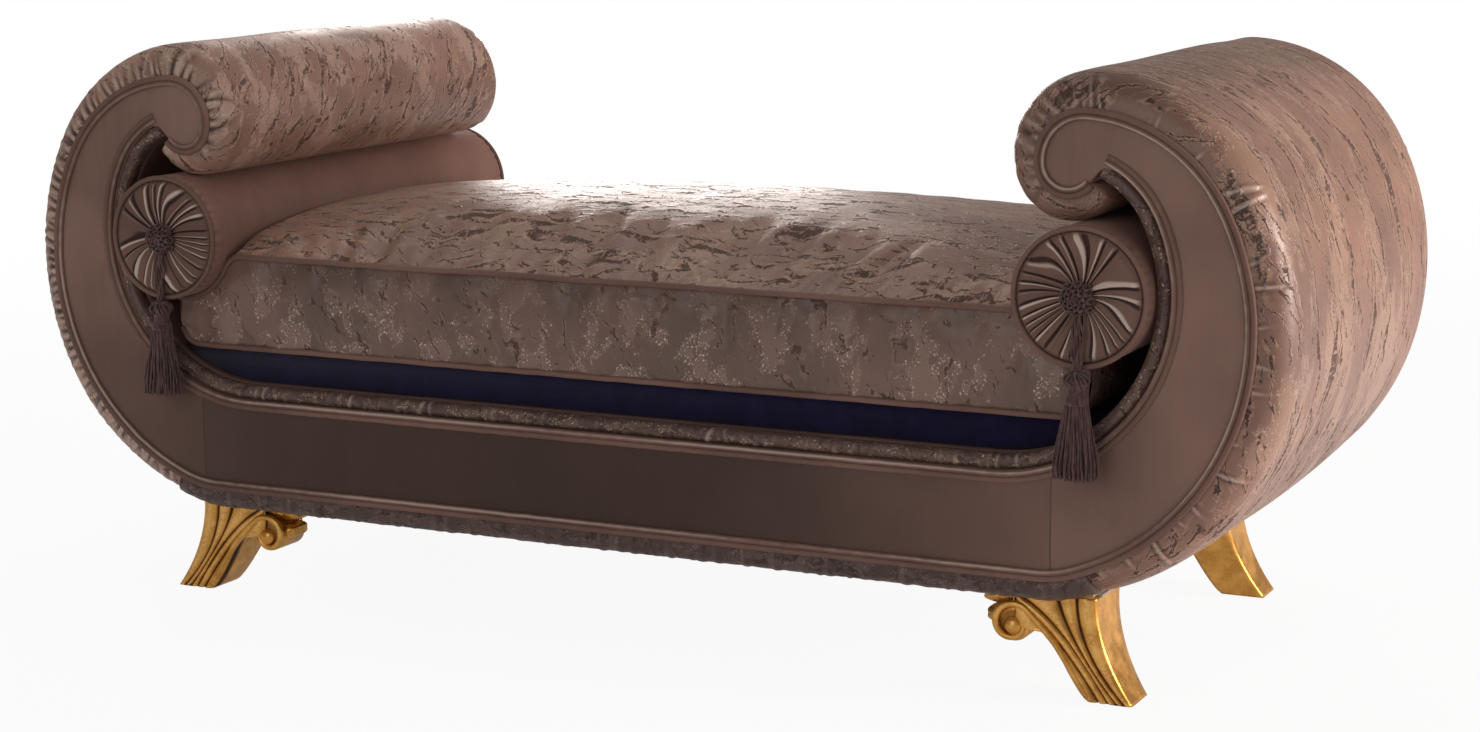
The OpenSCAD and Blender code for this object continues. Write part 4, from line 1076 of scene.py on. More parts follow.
def makeDustCover(name):
    wide = dust["wide"]
    xs = np.unique(np.concatenate([
        np.linspace(dustLow[0] + 0.002, -wide, 8), np.linspace(-wide, wide, 48),
        [-wide - 0.0004, wide + 0.0004], np.linspace(wide, dustHigh[0] - 0.002, 8)]))
    rings, area = [], 0.0
    for i, x in enumerate(xs):
        inset = dust["border"] if abs(x) <= wide + 1e-6 else dust["notch"]
        ys = np.linspace(frontY + inset, rearY - inset, 30)
        under = [(x, y, dustLow[2] + 0.0006 + 0.0004 * softNoise(x, y, 0, 0.1, 2)) for y in ys]
        rings.append(under + [(x, y, dustHigh[2]) for y in ys[::-1]])
        area += (xs[min(i + 1, len(xs) - 1)] - x) * (ys[-1] - ys[0])
    return loftRings(name, rings), (xs[-1] - xs[0], rearY - frontY - 2 * dust["border"]), area


dustCloth, dustSize, dustArea = makeDustCover("dust_cover_cloth")
dress(dustCloth, shadowCloth, "frame", ["dust_cover"])
print("lining, platform and dust cover made")

# bolsters
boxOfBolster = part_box("right_bolster")
bolsterEnds = (("front", boxOfBolster[0][1], -1), ("rear", boxOfBolster[1][1], 1))
bolster = {  # a little fuller than its solid, towards the middle and upwards
    "x": (boxOfBolster[0][0] + boxOfBolster[1][0]) / 2 - 0.0023,
    "z": (boxOfBolster[0][2] + boxOfBolster[1][2]) / 2 + 0.0023,
    "radius": 0.0885, "rim": 0.0035, "columns": 160, "rows": 90, "buttonAhead": 0.009,
    "gathers": 44, "gatherHeight": 0.0007, "sag": 0.0010, "slack": 0.0012, "endDrop": 0.0035,
    "endRound": 0.004,
}


def makeBolster(name, side, seed):
    (_, low, _), (_, high, _) = bolsterEnds
    ys = low + (high - low) * easedShares(bolster["rows"])
    rings, marks = [], []
    for y in ys:
        away = min(y - low, high - y)
        ring, mark = [], []
        for a in fullTurn(bolster["columns"]):
            stir = 5 * softNoise(math.cos(a), math.sin(a), 0, 0.35, seed)
            reach = 0.02 + 0.02 * softNoise(a, seed, 0, 0.2, 3)
            gather = math.sin(a * bolster["gathers"] + stir)
            gather *= bolster["gatherHeight"] * math.exp(-(away / reach) ** 1.5)
            sag = softNoise(math.cos(a), y * 3, math.sin(a), 0.9, seed) * bolster["sag"]
            radius = bolster["radius"] - bolster["slack"] + gather + sag
            radius -= bolster["endDrop"] * math.exp(-(away / bolster["endRound"]) ** 2)
            ring.append((side * bolster["x"] + radius * math.cos(a), y,
                         bolster["z"] + radius * math.sin(a)))
            # the mark: painted shade and highlight on the gathers near the ends
            mark.append(gather / (2 * bolster["gatherHeight"]))
        rings.append(ring)
        marks.append(mark)
    return loftRings(name, rings, marks=marks)


# the cord sewn round each end
rimCord = {"columns": 120, "sides": 10, "twists": 60, "twistHeight": 0.0003}


def makeRims(name, side):
    cords, rim = [], bolster["rim"]
    for _, y, way in bolsterEnds:
        rings = []
        for i in range(rimCord["columns"]):
            a = 2 * math.pi * i / rimCord["columns"]
            ring = []
            for k in range(rimCord["sides"]):
                t = 2 * math.pi * k / rimCord["sides"]
                r = bolster["radius"] - rim + rim * math.cos(t)
                r += rimCord["twistHeight"] * math.sin(a * rimCord["twists"])
                ring.append((side * bolster["x"] + r * math.cos(a),
                             y + way * (rim * 0.5 + rim * math.sin(t)),
                             bolster["z"] + r * math.sin(a)))
            rings.append(ring)
        cords.append(loftRings("rim", rings, closedPath=True))
    return joinPieces(name, cords)


# a pleated end, drawn in a geometry tree: a fan of folds from the rim to the button
rosette = {"Pleats": 25.0, "Height": 0.0085, "Swirl": 1.9, "Unevenness": 0.27}


def newGeometryTree(name, sizes):
    # an input for each size, whole numbers and others, and one for the material
    inputs = [(label, "NodeSocketInt" if isinstance(size, int) else number, size)
              for label, size in sizes.items()]
    return newGroup(name, [("Geometry", "NodeSocketGeometry", None)] + inputs
                    + [("Material", "NodeSocketMaterial", None)],
                    [("Geometry", "NodeSocketGeometry")], "GeometryNodeTree")


def endTree(tree, given, end, geometry):
    realized = firstOf(tree, "GeometryNodeRealizeInstances", {"Geometry": geometry})
    painted = firstOf(tree, "GeometryNodeSetMaterial", {
        "Geometry": realized, "Material": given["Material"]})
    tree.links.new(painted, end.inputs["Geometry"])


def choose(tree, test, no, yes):
    made = addNode(tree, "GeometryNodeSwitch", input_type="FLOAT")
    for i, value in enumerate((test, no, yes)):
        feed(tree, made.inputs[i], value)
    return made.outputs[0]


def onCircle(tree, radius, turn, z):
    return combine(tree, times(tree, radius, calc(tree, "COSINE", turn)),
                   times(tree, radius, calc(tree, "SINE", turn)), z)


def circle(tree, corners, radius):
    return firstOf(tree, "GeometryNodeCurvePrimitiveCircle", {
        "Resolution": corners, "Radius": radius}, mode="RADIUS")


def growPiece(name, tree, values, place):
    # runs the tree on an empty mesh, keeps the result as a plain mesh put in its place
    holder = bpy.data.objects.new(name + "_holder", bpy.data.meshes.new(name + "_holder"))
    scene.collection.objects.link(holder)
    modifier = holder.modifiers.new("grow", "NODES")
    modifier.node_group = tree
    for item in tree.interface.items_tree:
        if item.item_type == "SOCKET" and item.in_out == "INPUT" and item.name in values:
            modifier[item.identifier] = values[item.name]
    evaluated = holder.evaluated_get(bpy.context.evaluated_depsgraph_get())
    mesh = bpy.data.meshes.new_from_object(evaluated)
    mesh.name = name
    bpy.data.objects.remove(holder)
    mesh.transform(place)
    if place.determinant() < 0:
        mesh.flip_normals()
    mesh.shade_smooth()
    piece = bpy.data.objects.new(name, mesh)
    scene.collection.objects.link(piece)
    return piece


def makeRosetteTree():
    tree, given, end = newGeometryTree("pleatedEnd", {"Radius": 0.078, **rosette, "Seed": 1.0})
    grid = firstOf(tree, "GeometryNodeMeshGrid", {
        "Size X": 1.0, "Size Y": 1.0, "Vertices X": 617, "Vertices Y": 30})
    flatX, flatY, _ = apart(tree, firstOf(tree, "GeometryNodeInputPosition"))
    turn = times(tree, plus(tree, flatX, 0.5), 2 * math.pi)
    run = times(tree, plus(tree, flatY, 0.5), 1.2)
    # run 0 to 1 goes from the middle out over the pleats, 1 to 1.2 back in underneath
    under = calc(tree, "GREATER_THAN", run, 1.0001)
    r = choose(tree, under, run, times(tree, minus(tree, 1.2, run), 5.0, clamp=True))
    seed = given["Seed"]
    wave = plus(tree, calc(tree, "SINE", plus(tree, times(tree, turn, 3.0), seed)),
                calc(tree, "SINE", plus(tree, times(tree, turn, 7.0), times(tree, seed, 2.3))))
    pleatTurn = times(tree, turn, calc(tree, "DIVIDE", given["Pleats"], 2 * math.pi))
    pleatTurn = plus(tree, pleatTurn, times(tree, wave, given["Unevenness"]))
    bent = times(tree, calc(tree, "SINE", plus(tree, turn, seed)), r)
    pleatTurn = plus(tree, pleatTurn, times(tree, given["Swirl"], bent))
    within = calc(tree, "FRACT", pleatTurn)
    # across a pleat: a crease, a raised fold beside it, then a flat face that sinks slowly
    uncreased = times(tree, ramp(tree, within, 0.0, 0.14), ramp(tree, within, 1.0, 0.84))
    fold = ramp(tree, calc(tree, "ABSOLUTE", minus(tree, within, 0.22)), 0.03, 0.2, 1.0, 0.0)
    flat = calc(tree, "MULTIPLY_ADD", within, -0.3, 0.75)
    hump = times(tree, uncreased, calc(tree, "MULTIPLY_ADD", fold, 0.42, flat))
    # each pleat leans and has its own height
    which = calc(tree, "FLOOR", pleatTurn)
    lone = firstOf(tree, "ShaderNodeTexWhiteNoise", {"W": plus(tree, which, seed)},
                   noise_dimensions="1D")
    own = calc(tree, "MULTIPLY_ADD", lone, 0.35, 0.75)
    rise = ramp(tree, r, 0.1, 0.62)
    fall = ramp(tree, r, 0.87, 1.0, 1.0, 0.0)
    crease = ramp(tree, r, 0.15, 0.98, 0.1, 0.45)
    body = plus(tree, crease, times(tree, minus(tree, 1.0, crease), times(tree, hump, own)))
    height = times(tree, times(tree, body, calc(tree, "MULTIPLY_ADD", rise, 0.6, 0.4)),
                   times(tree, fall, given["Height"]))
    small = cloudNoise(tree, onCircle(tree, 6.0, turn, seed), 4.0)
    height = calc(tree, "MULTIPLY_ADD", minus(tree, small, 0.5), times(tree, fall, 0.0015), height)
    place = onCircle(tree, times(tree, r, given["Radius"]), turn,
                     choose(tree, under, height, -0.001))
    # the mark: painted shade in the creases and a painted highlight on the raised folds, brighter
    # on some pleats, fading at the rim
    mark = calc(tree, "MULTIPLY_ADD", uncreased, 1.6, -1.75)
    bright = calc(tree, "MULTIPLY_ADD", lone, 1.5, 0.2)
    mark = times(tree, calc(tree, "MULTIPLY_ADD", fold, bright, mark), fall)
    stored = firstOf(tree, "GeometryNodeStoreNamedAttribute", {
        "Geometry": grid, "Name": "fold", "Value": mark}, data_type="FLOAT", domain="POINT")
    shaped = firstOf(tree, "GeometryNodeSetPosition", {"Geometry": stored, "Position": place})
    welded = firstOf(tree, "GeometryNodeMergeByDistance", {"Geometry": shaped, "Distance": 0.00002})
    endTree(tree, given, end, welded)
    return tree


def facingPlace(side, y, forwardSign):
    # a piece drawn on the XY plane, rising in Z, turned to face the front (-1) or the rear (+1)
    return Matrix(((1, 0, 0, side * bolster["x"]), (0, 0, forwardSign, y),
                   (0, 1, 0, bolster["z"]), (0, 0, 0, 1)))


rosetteTree = makeRosetteTree()

goldenTurn = 2.39996  # radians from one seed of a sunflower to the next

# the button: small loops of braid, packed in a spiral over a dome
button = {"Radius": 0.0205, "Dome": 0.012, "Loops": 40, "Loop Size": 0.0052, "Yarn": 0.0016}


def makeButtonTree():
    tree, given, end = newGeometryTree("braidedButton", button)
    index = firstOf(tree, "GeometryNodeInputIndex")
    share = calc(tree, "DIVIDE", plus(tree, index, 0.5), given["Loops"])
    away = calc(tree, "SQRT", share)
    turn = times(tree, index, goldenTurn)
    lift = times(tree, calc(tree, "SQRT", minus(tree, 1.0, times(tree, share, 0.92))),
                 given["Dome"])
    place = onCircle(tree, times(tree, away, given["Radius"]), turn, lift)
    points = firstOf(tree, "GeometryNodePoints", {"Count": given["Loops"], "Position": place})
    loop = firstOf(tree, "GeometryNodeCurveToMesh", {
        "Curve": circle(tree, 9, given["Loop Size"]),
        "Profile Curve": circle(tree, 5, given["Yarn"])})
    angles = combine(tree, 0.0, calc(tree, "MULTIPLY_ADD", away, 0.9, 0.35), turn)
    packed = firstOf(tree, "GeometryNodeInstanceOnPoints", {
        "Points": points, "Instance": loop, "Scale": (1.25, 0.75, 1.0),
        "Rotation": firstOf(tree, "FunctionNodeEulerToRotation", {"Euler": angles})})
    core = firstOf(tree, "GeometryNodeMeshUVSphere", {
        "Segments": 24, "Rings": 12, "Radius": given["Radius"]})
    squash = firstOf(tree, "GeometryNodeTransform", {"Geometry": core, "Scale": (0.97, 0.97, 0.42)})
    both = addNode(tree, "GeometryNodeJoinGeometry")
    tree.links.new(packed, both.inputs[0])
    tree.links.new(squash, both.inputs[0])
    endTree(tree, given, end, both.outputs[0])
    return tree


buttonTree = makeButtonTree()

for side, word in ((-1, "left"), (1, "right")):
    body = "%s_bolster" % word
    roll = makeBolster("%s_bolster_roll" % word, side, 40 + side)
    dress(roll, bolsterVelvet, body, [body])
    dress(makeRims("%s_rim_cords" % word, side), weltVelvet, body,
          ["%s_bolster_rims" % word])
    knots = []
    for end, y, way in bolsterEnds:
        fan = growPiece("%s_%s_pleats" % (word, end), rosetteTree, {
            **rosette, "Radius": bolster["radius"] - 1.7 * bolster["rim"],
            "Seed": 2.0 + side + way * 0.7, "Material": shadedPleatVelvet}, facingPlace(side, y, way))
        dress(fan, shadedPleatVelvet, body, ["%s_%s_rosette" % (word, end)])
        knots.append(growPiece("knot", buttonTree, {**button, "Material": darkYarn},
                               facingPlace(side, y + way * bolster["buttonAhead"], way)))
    dress(joinPieces("%s_braided_buttons" % word, knots), darkYarn, body,
          ["%s_buttons" % word])
print("bolsters made")

# tassels
tassel = {"tuck": 0.010, "loop": 0.0084, "loopCord": 0.0019, "plies": 5, "plyCord": 0.0018,
          "plySpread": 0.0065, "wraps": 5, "wrapRadius": 0.0102, "wrapEvery": 0.0016,
          "wrapCord": 0.0010, "braids": 16, "braidCord": 0.0016, "braidDrop": 0.021}
skirt = {"Strands": 130, "Yarn": 0.0013, "Top Width": 0.024, "Width": 0.058, "Depth": 0.034}


def makeStrandTree():
    # strands hang from a small disc, spread towards the bottom and wander a little
    tree, given, end = newGeometryTree("tasselStrands", {**skirt, "Length": 0.092, "Seed": 1.0})
    steps = 12
    points = firstOf(tree, "GeometryNodePoints", {"Count": given["Strands"]})
    line = firstOf(tree, "GeometryNodeCurvePrimitiveLine", {"Start": (0, 0, 0), "End": (0, 0, -1)})
    parted = firstOf(tree, "GeometryNodeResampleCurve", {"Curve": line, "Count": steps})
    many = firstOf(tree, "GeometryNodeInstanceOnPoints", {"Points": points, "Instance": parted})
    real = firstOf(tree, "GeometryNodeRealizeInstances", {"Geometry": many})
    index = firstOf(tree, "GeometryNodeInputIndex")
    which = calc(tree, "FLOOR", calc(tree, "DIVIDE", plus(tree, index, 0.5), float(steps)))
    t = addNode(tree, "GeometryNodeSplineParameter").outputs["Factor"]
    share = calc(tree, "DIVIDE", plus(tree, which, 0.5), given["Strands"])
    away = calc(tree, "SQRT", share)
    turn = calc(tree, "MULTIPLY_ADD", which, goldenTurn, given["Seed"])
    grow = ramp(tree, t, -0.2, 1.0)
    wide, deep = (calc(tree, "MULTIPLY_ADD", minus(tree, given[size], given["Top Width"]), grow,
                       given["Top Width"]) for size in ("Width", "Depth"))
    spot = combine(tree, times(tree, which, 3.7), times(tree, t, 2.2), given["Seed"])
    sway = cloudNoise(tree, spot, 1.0, 1.0, result="Color")
    sway = vectorCalc(tree, "SUBTRACT", sway, (0.5, 0.5, 0.5))
    sway = vectorCalc(tree, "SCALE", sway, times(tree, t, 0.012))
    x, y = (times(tree, times(tree, size, 0.5), times(tree, away, calc(tree, wave, turn)))
            for size, wave in ((wide, "COSINE"), (deep, "SINE")))
    z = times(tree, times(tree, t, given["Length"]), -1.0)
    placed = vectorCalc(tree, "ADD", combine(tree, x, y, z), sway)
    moved = firstOf(tree, "GeometryNodeSetPosition", {"Geometry": real, "Position": placed})
    tubes = firstOf(tree, "GeometryNodeCurveToMesh", {
        "Curve": moved, "Profile Curve": circle(tree, 5, given["Yarn"]), "Fill Caps": True})
    endTree(tree, given, end, tubes)
    return tree


strandTree = makeStrandTree()


def latheShell(name, profile, segments, centre, ripple=0.0, ripples=0):
    # profile: (radius, height) from the top down, both ends on the axis
    cx, cy, cz = centre
    verts, faces = [], []
    inner = profile[1:-1]
    for r, z in inner:
        for k in range(segments):
            a = 2 * math.pi * k / segments
            rr = r * (1 + ripple * math.cos(a * ripples))
            verts.append((cx + rr * math.cos(a), cy + rr * math.sin(a), cz + z))
    for i in range(len(inner) - 1):
        for k in range(segments):
            m = (k + 1) % segments
            here, below = i * segments, (i + 1) * segments
            faces.append((here + k, here + m, below + m, below + k))
    top, bottom = len(verts), len(verts) + 1
    verts += [(cx, cy, cz + profile[0][1]), (cx, cy, cz + profile[-1][1])]
    last = (len(inner) - 1) * segments
    for k in range(segments):
        m = (k + 1) % segments
        faces.append((top, m, k))
        faces.append((bottom, last + k, last + m))
    return finishMesh(name, verts, faces)


def tubeAlong(name, points, radius, sides=8):
    # a round cord through a row of points
    points = [Vector(tuple(p)) for p in points]
    rings = []
    up = Vector((0, 1, 0))
    for i, p in enumerate(points):
        way = (points[min(i + 1, len(points) - 1)] - points[max(i - 1, 0)]).normalized()
        across = way.cross(up)
        across = across.normalized() if across.length > 1e-6 else Vector((1, 0, 0))
        lift = across.cross(way).normalized()
        r = radius(i / (len(points) - 1)) if callable(radius) else radius
        rings.append([p + across * (r * math.cos(t)) + lift * (r * math.sin(t))
                      for t in [2 * math.pi * k / sides for k in range(sides)]])
    return loftRings(name, [[tuple(v) for v in ring] for ring in rings])


def makeTassel(side, word):
    body = "%s_tassel" % word
    skirtLow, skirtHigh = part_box("%s_tassel_skirt" % word)
    headLow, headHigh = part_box("%s_tassel_head" % word)
    x = (skirtLow[0] + skirtHigh[0]) / 2
    y = (skirtLow[1] + skirtHigh[1]) / 2
    # cord: a loop round the button's shank, and slack strands below it
    loop = [(x + tassel["loop"] * math.sin(a), y, bolster["z"] + tassel["loop"] * math.cos(a))
            for a in np.linspace(0.15, 2 * math.pi - 0.15, 28)]
    parts = [tubeAlong("loop", loop, tassel["loopCord"])]
    top, foot = bolster["z"] - tassel["loop"], headHigh[2] - 0.004
    for n in range(tassel["plies"]):  # spread sideways, each winding a little
        points, last, middle = [], 29, tassel["plies"] // 2
        for k in range(last + 1):
            t = k / last
            swing = tassel["plySpread"] * math.sin(math.pi * t) ** 0.7 * (n - middle) / middle
            wind = 0.0012 * math.sin(5 * t * math.pi + n * 1.9)
            points.append((x + swing + wind, y - 0.0016 - 0.0012 * math.cos(4 * t * math.pi + n),
                           top + (foot - top) * t))
        parts.append(tubeAlong("ply", points, tassel["plyCord"]))
    cordPiece = joinPieces("%s_tassel_rope" % word, parts)
    dress(cordPiece, darkYarn, body, ["%s_tassel_cord" % word])
    # head: a bound knob under loops of braid, and a ruff
    height = headHigh[2] - headLow[2]
    profile = [(0, 0), (0.004, -0.0005), (0.009, -0.004), (0.0122, -0.010), (0.0125, -0.015),
               (0.0105, -0.021), (0.0088, -0.026), (0.0125, -0.030), (0.0145, -0.035),
               (0.0142, -height), (0, -height)]
    knob = latheShell("knob", profile, 40, (x, y, headHigh[2]), ripple=0.04, ripples=12)
    wraps = []
    for k in range(tassel["wraps"]):
        z, r = headHigh[2] - 0.0225 - k * tassel["wrapEvery"], tassel["wrapRadius"]
        ring = [(x + r * math.cos(a), y + r * math.sin(a), z + 0.0005 * math.sin(a))
                for a in np.linspace(0, 2 * math.pi, 25)]
        wraps.append(tubeAlong("wrap", ring, tassel["wrapCord"], 6))
    for k in range(tassel["braids"]):  # loops of braid that ruffle over the knob
        a = 2 * math.pi * k / tassel["braids"]
        reach = 0.0105 + 0.0025 * math.sin(k * 2.7)
        arc = []
        for t in np.linspace(0, 1, 14):
            out = 0.0045 + reach * math.sin(math.pi * t ** 0.8)
            arc.append((x + out * math.cos(a + 0.7 * t), y + out * math.sin(a + 0.7 * t),
                        headHigh[2] - 0.001 - tassel["braidDrop"] * t
                        + 0.0015 * math.sin(k * 1.7 + 3 * t)))
        wraps.append(tubeAlong("braid", arc, tassel["braidCord"], 6))
    headPiece = joinPieces("%s_tassel_knob" % word, [knob] + wraps)
    dress(headPiece, darkYarn, body, ["%s_tassel_head" % word])
    strands = growPiece("%s_tassel_strands" % word, strandTree, {
        **skirt, "Length": skirtHigh[2] - skirtLow[2] + tassel["tuck"], "Seed": 3.0 + side,
        "Material": darkYarn}, Matrix.Translation((x, y, skirtHigh[2] + tassel["tuck"])))
    dress(strands, darkYarn, body, ["%s_tassel_skirt" % word])


for side, word in ((-1, "left"), (1, "right")):
    makeTassel(side, word)
print("tassels made")

# seat cushion
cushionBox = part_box("seat_cushion")
cushion = {
    "bottom": cushionBox[0][2] + 0.0006, "front": cushionBox[0][1], "rear": cushionBox[1][1],
    "boxing": 0.135, "crown": 0.070, "crownEnd": 0.045, "roundOver": 0.028, "hollowGap": 0.0012,
    "columns": 150, "rows": 64, "boxingRows": 12, "corner": 0.030, "piping": 0.0045,
    "puffCap": 0.010, "sag": 0.0045, "sagWithin": 0.55,
}


def topOutline(edgeZ, peak, count):
    # the top's section from the middle to the right end: crown, rounded shoulder, hollow
    bend = cushion["roundOver"]
    hollow = bolster["radius"] + cushion["hollowGap"]
    z = edgeZ - bend
    x = bolster["x"] - math.sqrt((hollow + bend) ** 2 - (z - bolster["z"]) ** 2)
    meet = math.degrees(math.atan2(bolster["z"] - z, bolster["x"] - x))
    points = []
    for t in np.linspace(0, 1, 60):
        points.append((x * t, edgeZ + (peak - edgeZ) * (1 - t ** 2.5)))
    points += [along((x, z), bend, a) for a in np.linspace(90, meet, 10)[1:]]
    points += [along((bolster["x"], bolster["z"]), hollow, a)
               for a in np.linspace(meet - 180, -88, 24)[1:]]
    points = np.array(points)
    at = lengths(points)
    wanted = np.linspace(0, at[-1], count)
    return np.stack([np.interp(wanted, at, points[:, k]) for k in range(2)], axis=1)


def crownAt(share):
    return (1 - abs(2 * share - 1) ** 2.4) ** 0.7


def makeCushion(name):
    half = cushion["columns"] // 2 + 1
    seam = cushion["bottom"] + cushion["boxing"]
    shares = np.linspace(0, 1, cushion["rows"] + 1)
    shares = shares - 0.06 * np.sin(2 * math.pi * shares)  # closer at the seams
    rows = []
    for share in shares:
        rise = crownAt(float(np.clip(share, 0, 1)))
        right = topOutline(seam + cushion["crownEnd"] * rise, seam + cushion["crown"] * rise, half)
        left = right[:0:-1] * np.array([-1, 1])
        y = cushion["front"] + (cushion["rear"] - cushion["front"]) * share
        sag, within = cushion["sag"] * (1 - rise), cushion["sagWithin"]
        rows.append([(x, y, z + sag * softNoise(x, y, 0, 0.22, 4) * (abs(x) < within))
                     for x, z in np.vstack([left, right])])
    top = np.array(rows)  # rows by columns by 3
    columns, corner = top.shape[1], cushion["corner"]
    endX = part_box("cushion_bottom_piping")[1][0] - 0.002
    base = np.zeros_like(top)
    base[:, :, 0] = np.linspace(-endX, endX, columns)[None, :]
    base[:, :, 1] = top[:, :, 1]
    turned = np.clip((np.abs(base[:, :, 0]) - (endX - corner)) / corner, 0, 0.98)
    base[:, :, 2] = cushion["bottom"] + corner * (1 - np.sqrt(1 - turned ** 2))
    verts, index = [], {}

    def vert(key, place):
        index[key] = len(verts)
        verts.append(tuple(place))

    boxRows, last = cushion["boxingRows"], len(shares) - 1
    faces, uvs, kinds = [], [], []
    for i in range(last + 1):
        for j in range(columns):
            vert(("t", i, j), top[i, j])
            vert(("b", i, j), base[i, j])
    length = lengths(top[len(shares) // 2][:, [0, 2]])
    for i in range(last):
        for j in range(columns - 1):
            corners = [(i, j), (i, j + 1), (i + 1, j + 1), (i + 1, j)]
            faces.append([index[("t", a, b)] for a, b in corners])
            uvs += [(length[b], top[a, b][1] - top[0, 0][1]) for a, b in corners]
            faces.append([index[("b", a, b)] for a, b in corners[::-1]])
            uvs += [(length[b], top[a, b][1] + 1.3) for a, b in corners[::-1]]
            kinds += [0, 0]

    def wall(kind, spots, at, flip, mark):
        # boxing between the lower and the upper seam, at the given rows and columns
        # mark: where on the cloth it is cut, so that no two sides show the same figure
        for k in range(boxRows + 1):
            for n, spot in enumerate(spots):
                foot, head = index[("b", *spot)], index[("t", *spot)]
                if k in (0, boxRows):
                    index[(kind, k, n)] = head if k else foot
                else:
                    low, high = np.array(verts[foot]), np.array(verts[head])
                    vert((kind, k, n), low + (high - low) * (k / boxRows))
        for k in range(boxRows):
            for n in range(len(spots) - 1):
                corners = [(k, n), (k, n + 1), (k + 1, n + 1), (k + 1, n)][::-1 if flip else 1]
                faces.append([index[(kind, a, b)] for a, b in corners])
                uvs.extend([(verts[index[(kind, a, b)]][2], at[b] + mark) for a, b in corners])
                kinds.append(1)

    def rowSpots(i):
        return [(i, j) for j in range(columns)]

    def columnSpots(j):
        return [(i, j) for i in range(last + 1)]

    wall("front", rowSpots(0), top[0][:, 0], False, 4.0)
    wall("rear", rowSpots(last), top[0][:, 0], True, 7.0)
    wall("left", columnSpots(0), top[:, 0, 1], True, 9.0)
    wall("right", columnSpots(columns - 1), top[:, 0, 1], False, 12.0)
    piece = finishMesh(name, verts, faces, uvs)
    for polygon, kind in zip(piece.data.polygons, kinds):
        polygon.material_index = kind
    # the cloth is held along the upper seam and all over its underside
    edges = rowSpots(0) + rowSpots(last) + columnSpots(0) + columnSpots(columns - 1)
    sewn = {index[("t", *spot)] for spot in edges}
    sewn |= {index[("b", *spot)] for i in range(last + 1) for spot in rowSpots(i)}
    seams = [[verts[index[(level, *spot)]] for spot in rowSpots(0)] for level in "tb"]
    return piece, sewn, np.array(verts), *seams


# the cloth run's settings
settling = {
    "quality": 5, "mass": 0.4, "tension_stiffness": 18, "compression_stiffness": 18,
    "shear_stiffness": 6, "bending_stiffness": 0.6, "use_pressure": True,
    "uniform_pressure_force": 2.5, "shrink_min": -0.035, "vertex_group_mass": "sewn",
}


def settleCushion(piece, sewn, start):
    # a short cloth run with a little spare cloth: it puffs between its seams and wrinkles at them
    group = piece.vertex_groups.new(name="sewn")
    group.add(sorted(sewn), 1.0, "REPLACE")
    cloth = piece.modifiers.new("settle", "CLOTH")
    for key, value in settling.items():
        setattr(cloth.settings, key, value)
    cloth.settings.effector_weights.gravity = 0
    cloth.point_cache.frame_start, cloth.point_cache.frame_end = 1, 22
    for step in range(1, 19):
        scene.frame_set(step)
    evaluated = piece.evaluated_get(bpy.context.evaluated_depsgraph_get())
    ended = np.zeros(len(start) * 3)
    evaluated.data.vertices.foreach_get("co", ended)
    ended = ended.reshape(-1, 3)
    piece.modifiers.remove(cloth)
    scene.frame_set(1)
    return ended


pulls = {"count": 9, "rise": 0.0026, "half": 0.009, "lean": 0.5, "tall": 0.075}


def pulledFolds(x, z, seed):
    # slanted folds that rise from the lower seam of the boxing
    maker = random.Random(seed)
    total = np.zeros(len(x))
    for k in range(pulls["count"]):
        at = -0.6 + 1.2 * (k + maker.uniform(0.1, 0.9)) / pulls["count"]
        above = z - cushion["bottom"]
        up = above / (pulls["tall"] * maker.uniform(0.5, 1.1))
        off = (x - at + pulls["lean"] * maker.uniform(0.2, 1) * above) / pulls["half"]
        fold = pulls["rise"] * maker.uniform(0.5, 1) * (1 - off ** 2) * np.exp(-off ** 2 / 2)
        total += fold * np.clip(np.minimum(up * 6, 1 - up), 0, 1)
    return total


def shapeCushion(piece, start, ended):
    # keeps the puff within its cap, off the bolsters and off the platform
    move = ended - start
    size = np.linalg.norm(move, axis=1)
    move *= (np.minimum(size, cushion["puffCap"]) / np.maximum(size, 1e-9))[:, None]
    shaped = start + move
    for edge, way, seed in ((cushion["front"], -1, 5), (cushion["rear"], 1, 6)):
        onWall = np.abs(start[:, 1] - edge) < 1e-5
        shaped[onWall, 1] += way * pulledFolds(start[onWall, 0], start[onWall, 2], seed)
    for side in (-1, 1):
        tight = bolster["radius"] + 0.001
        x = shaped[:, 0] - side * bolster["x"]
        z = shaped[:, 2] - bolster["z"]
        far = np.sqrt(x ** 2 + z ** 2)
        near = far < tight
        shaped[near, 0] = side * bolster["x"] + x[near] / far[near] * tight
        shaped[near, 2] = bolster["z"] + z[near] / far[near] * tight
    shaped[:, 2] = np.maximum(shaped[:, 2], cushion["bottom"])
    piece.data.vertices.foreach_set("co", shaped.ravel())
    piece.data.update()


seatCushion, sewnVerts, cushionStart, topSeam, baseSeam = makeCushion("seat_cushion_boxed")
cushionEnd = settleCushion(seatCushion, sewnVerts, cushionStart)
shapeCushion(seatCushion, cushionStart, cushionEnd)
seatCushion.vertex_groups.clear()
smoother = seatCushion.modifiers.new("finer", "SUBSURF")
smoother.levels = smoother.render_levels = 1
seatCushion.data.materials.append(seatJacquard)
seatCushion.data.materials.append(shadedBoxingJacquard)
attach(seatCushion, "cushion")
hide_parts("seat_cushion")


def makePiping(name, points, drop, forward, seed):
    cords = []
    for y, way in ((cushion["front"], -1), (cushion["rear"], 1)):
        path = []
        for x, _, z in points:
            shift = 0.0007 * softNoise(x, 0, 0, 0.03, seed)
            path.append((x, y + way * forward, z + drop + shift))
        cords.append(tubeAlong("cord", path, cushion["piping"] * 0.9, 10))
    return joinPieces(name, cords)


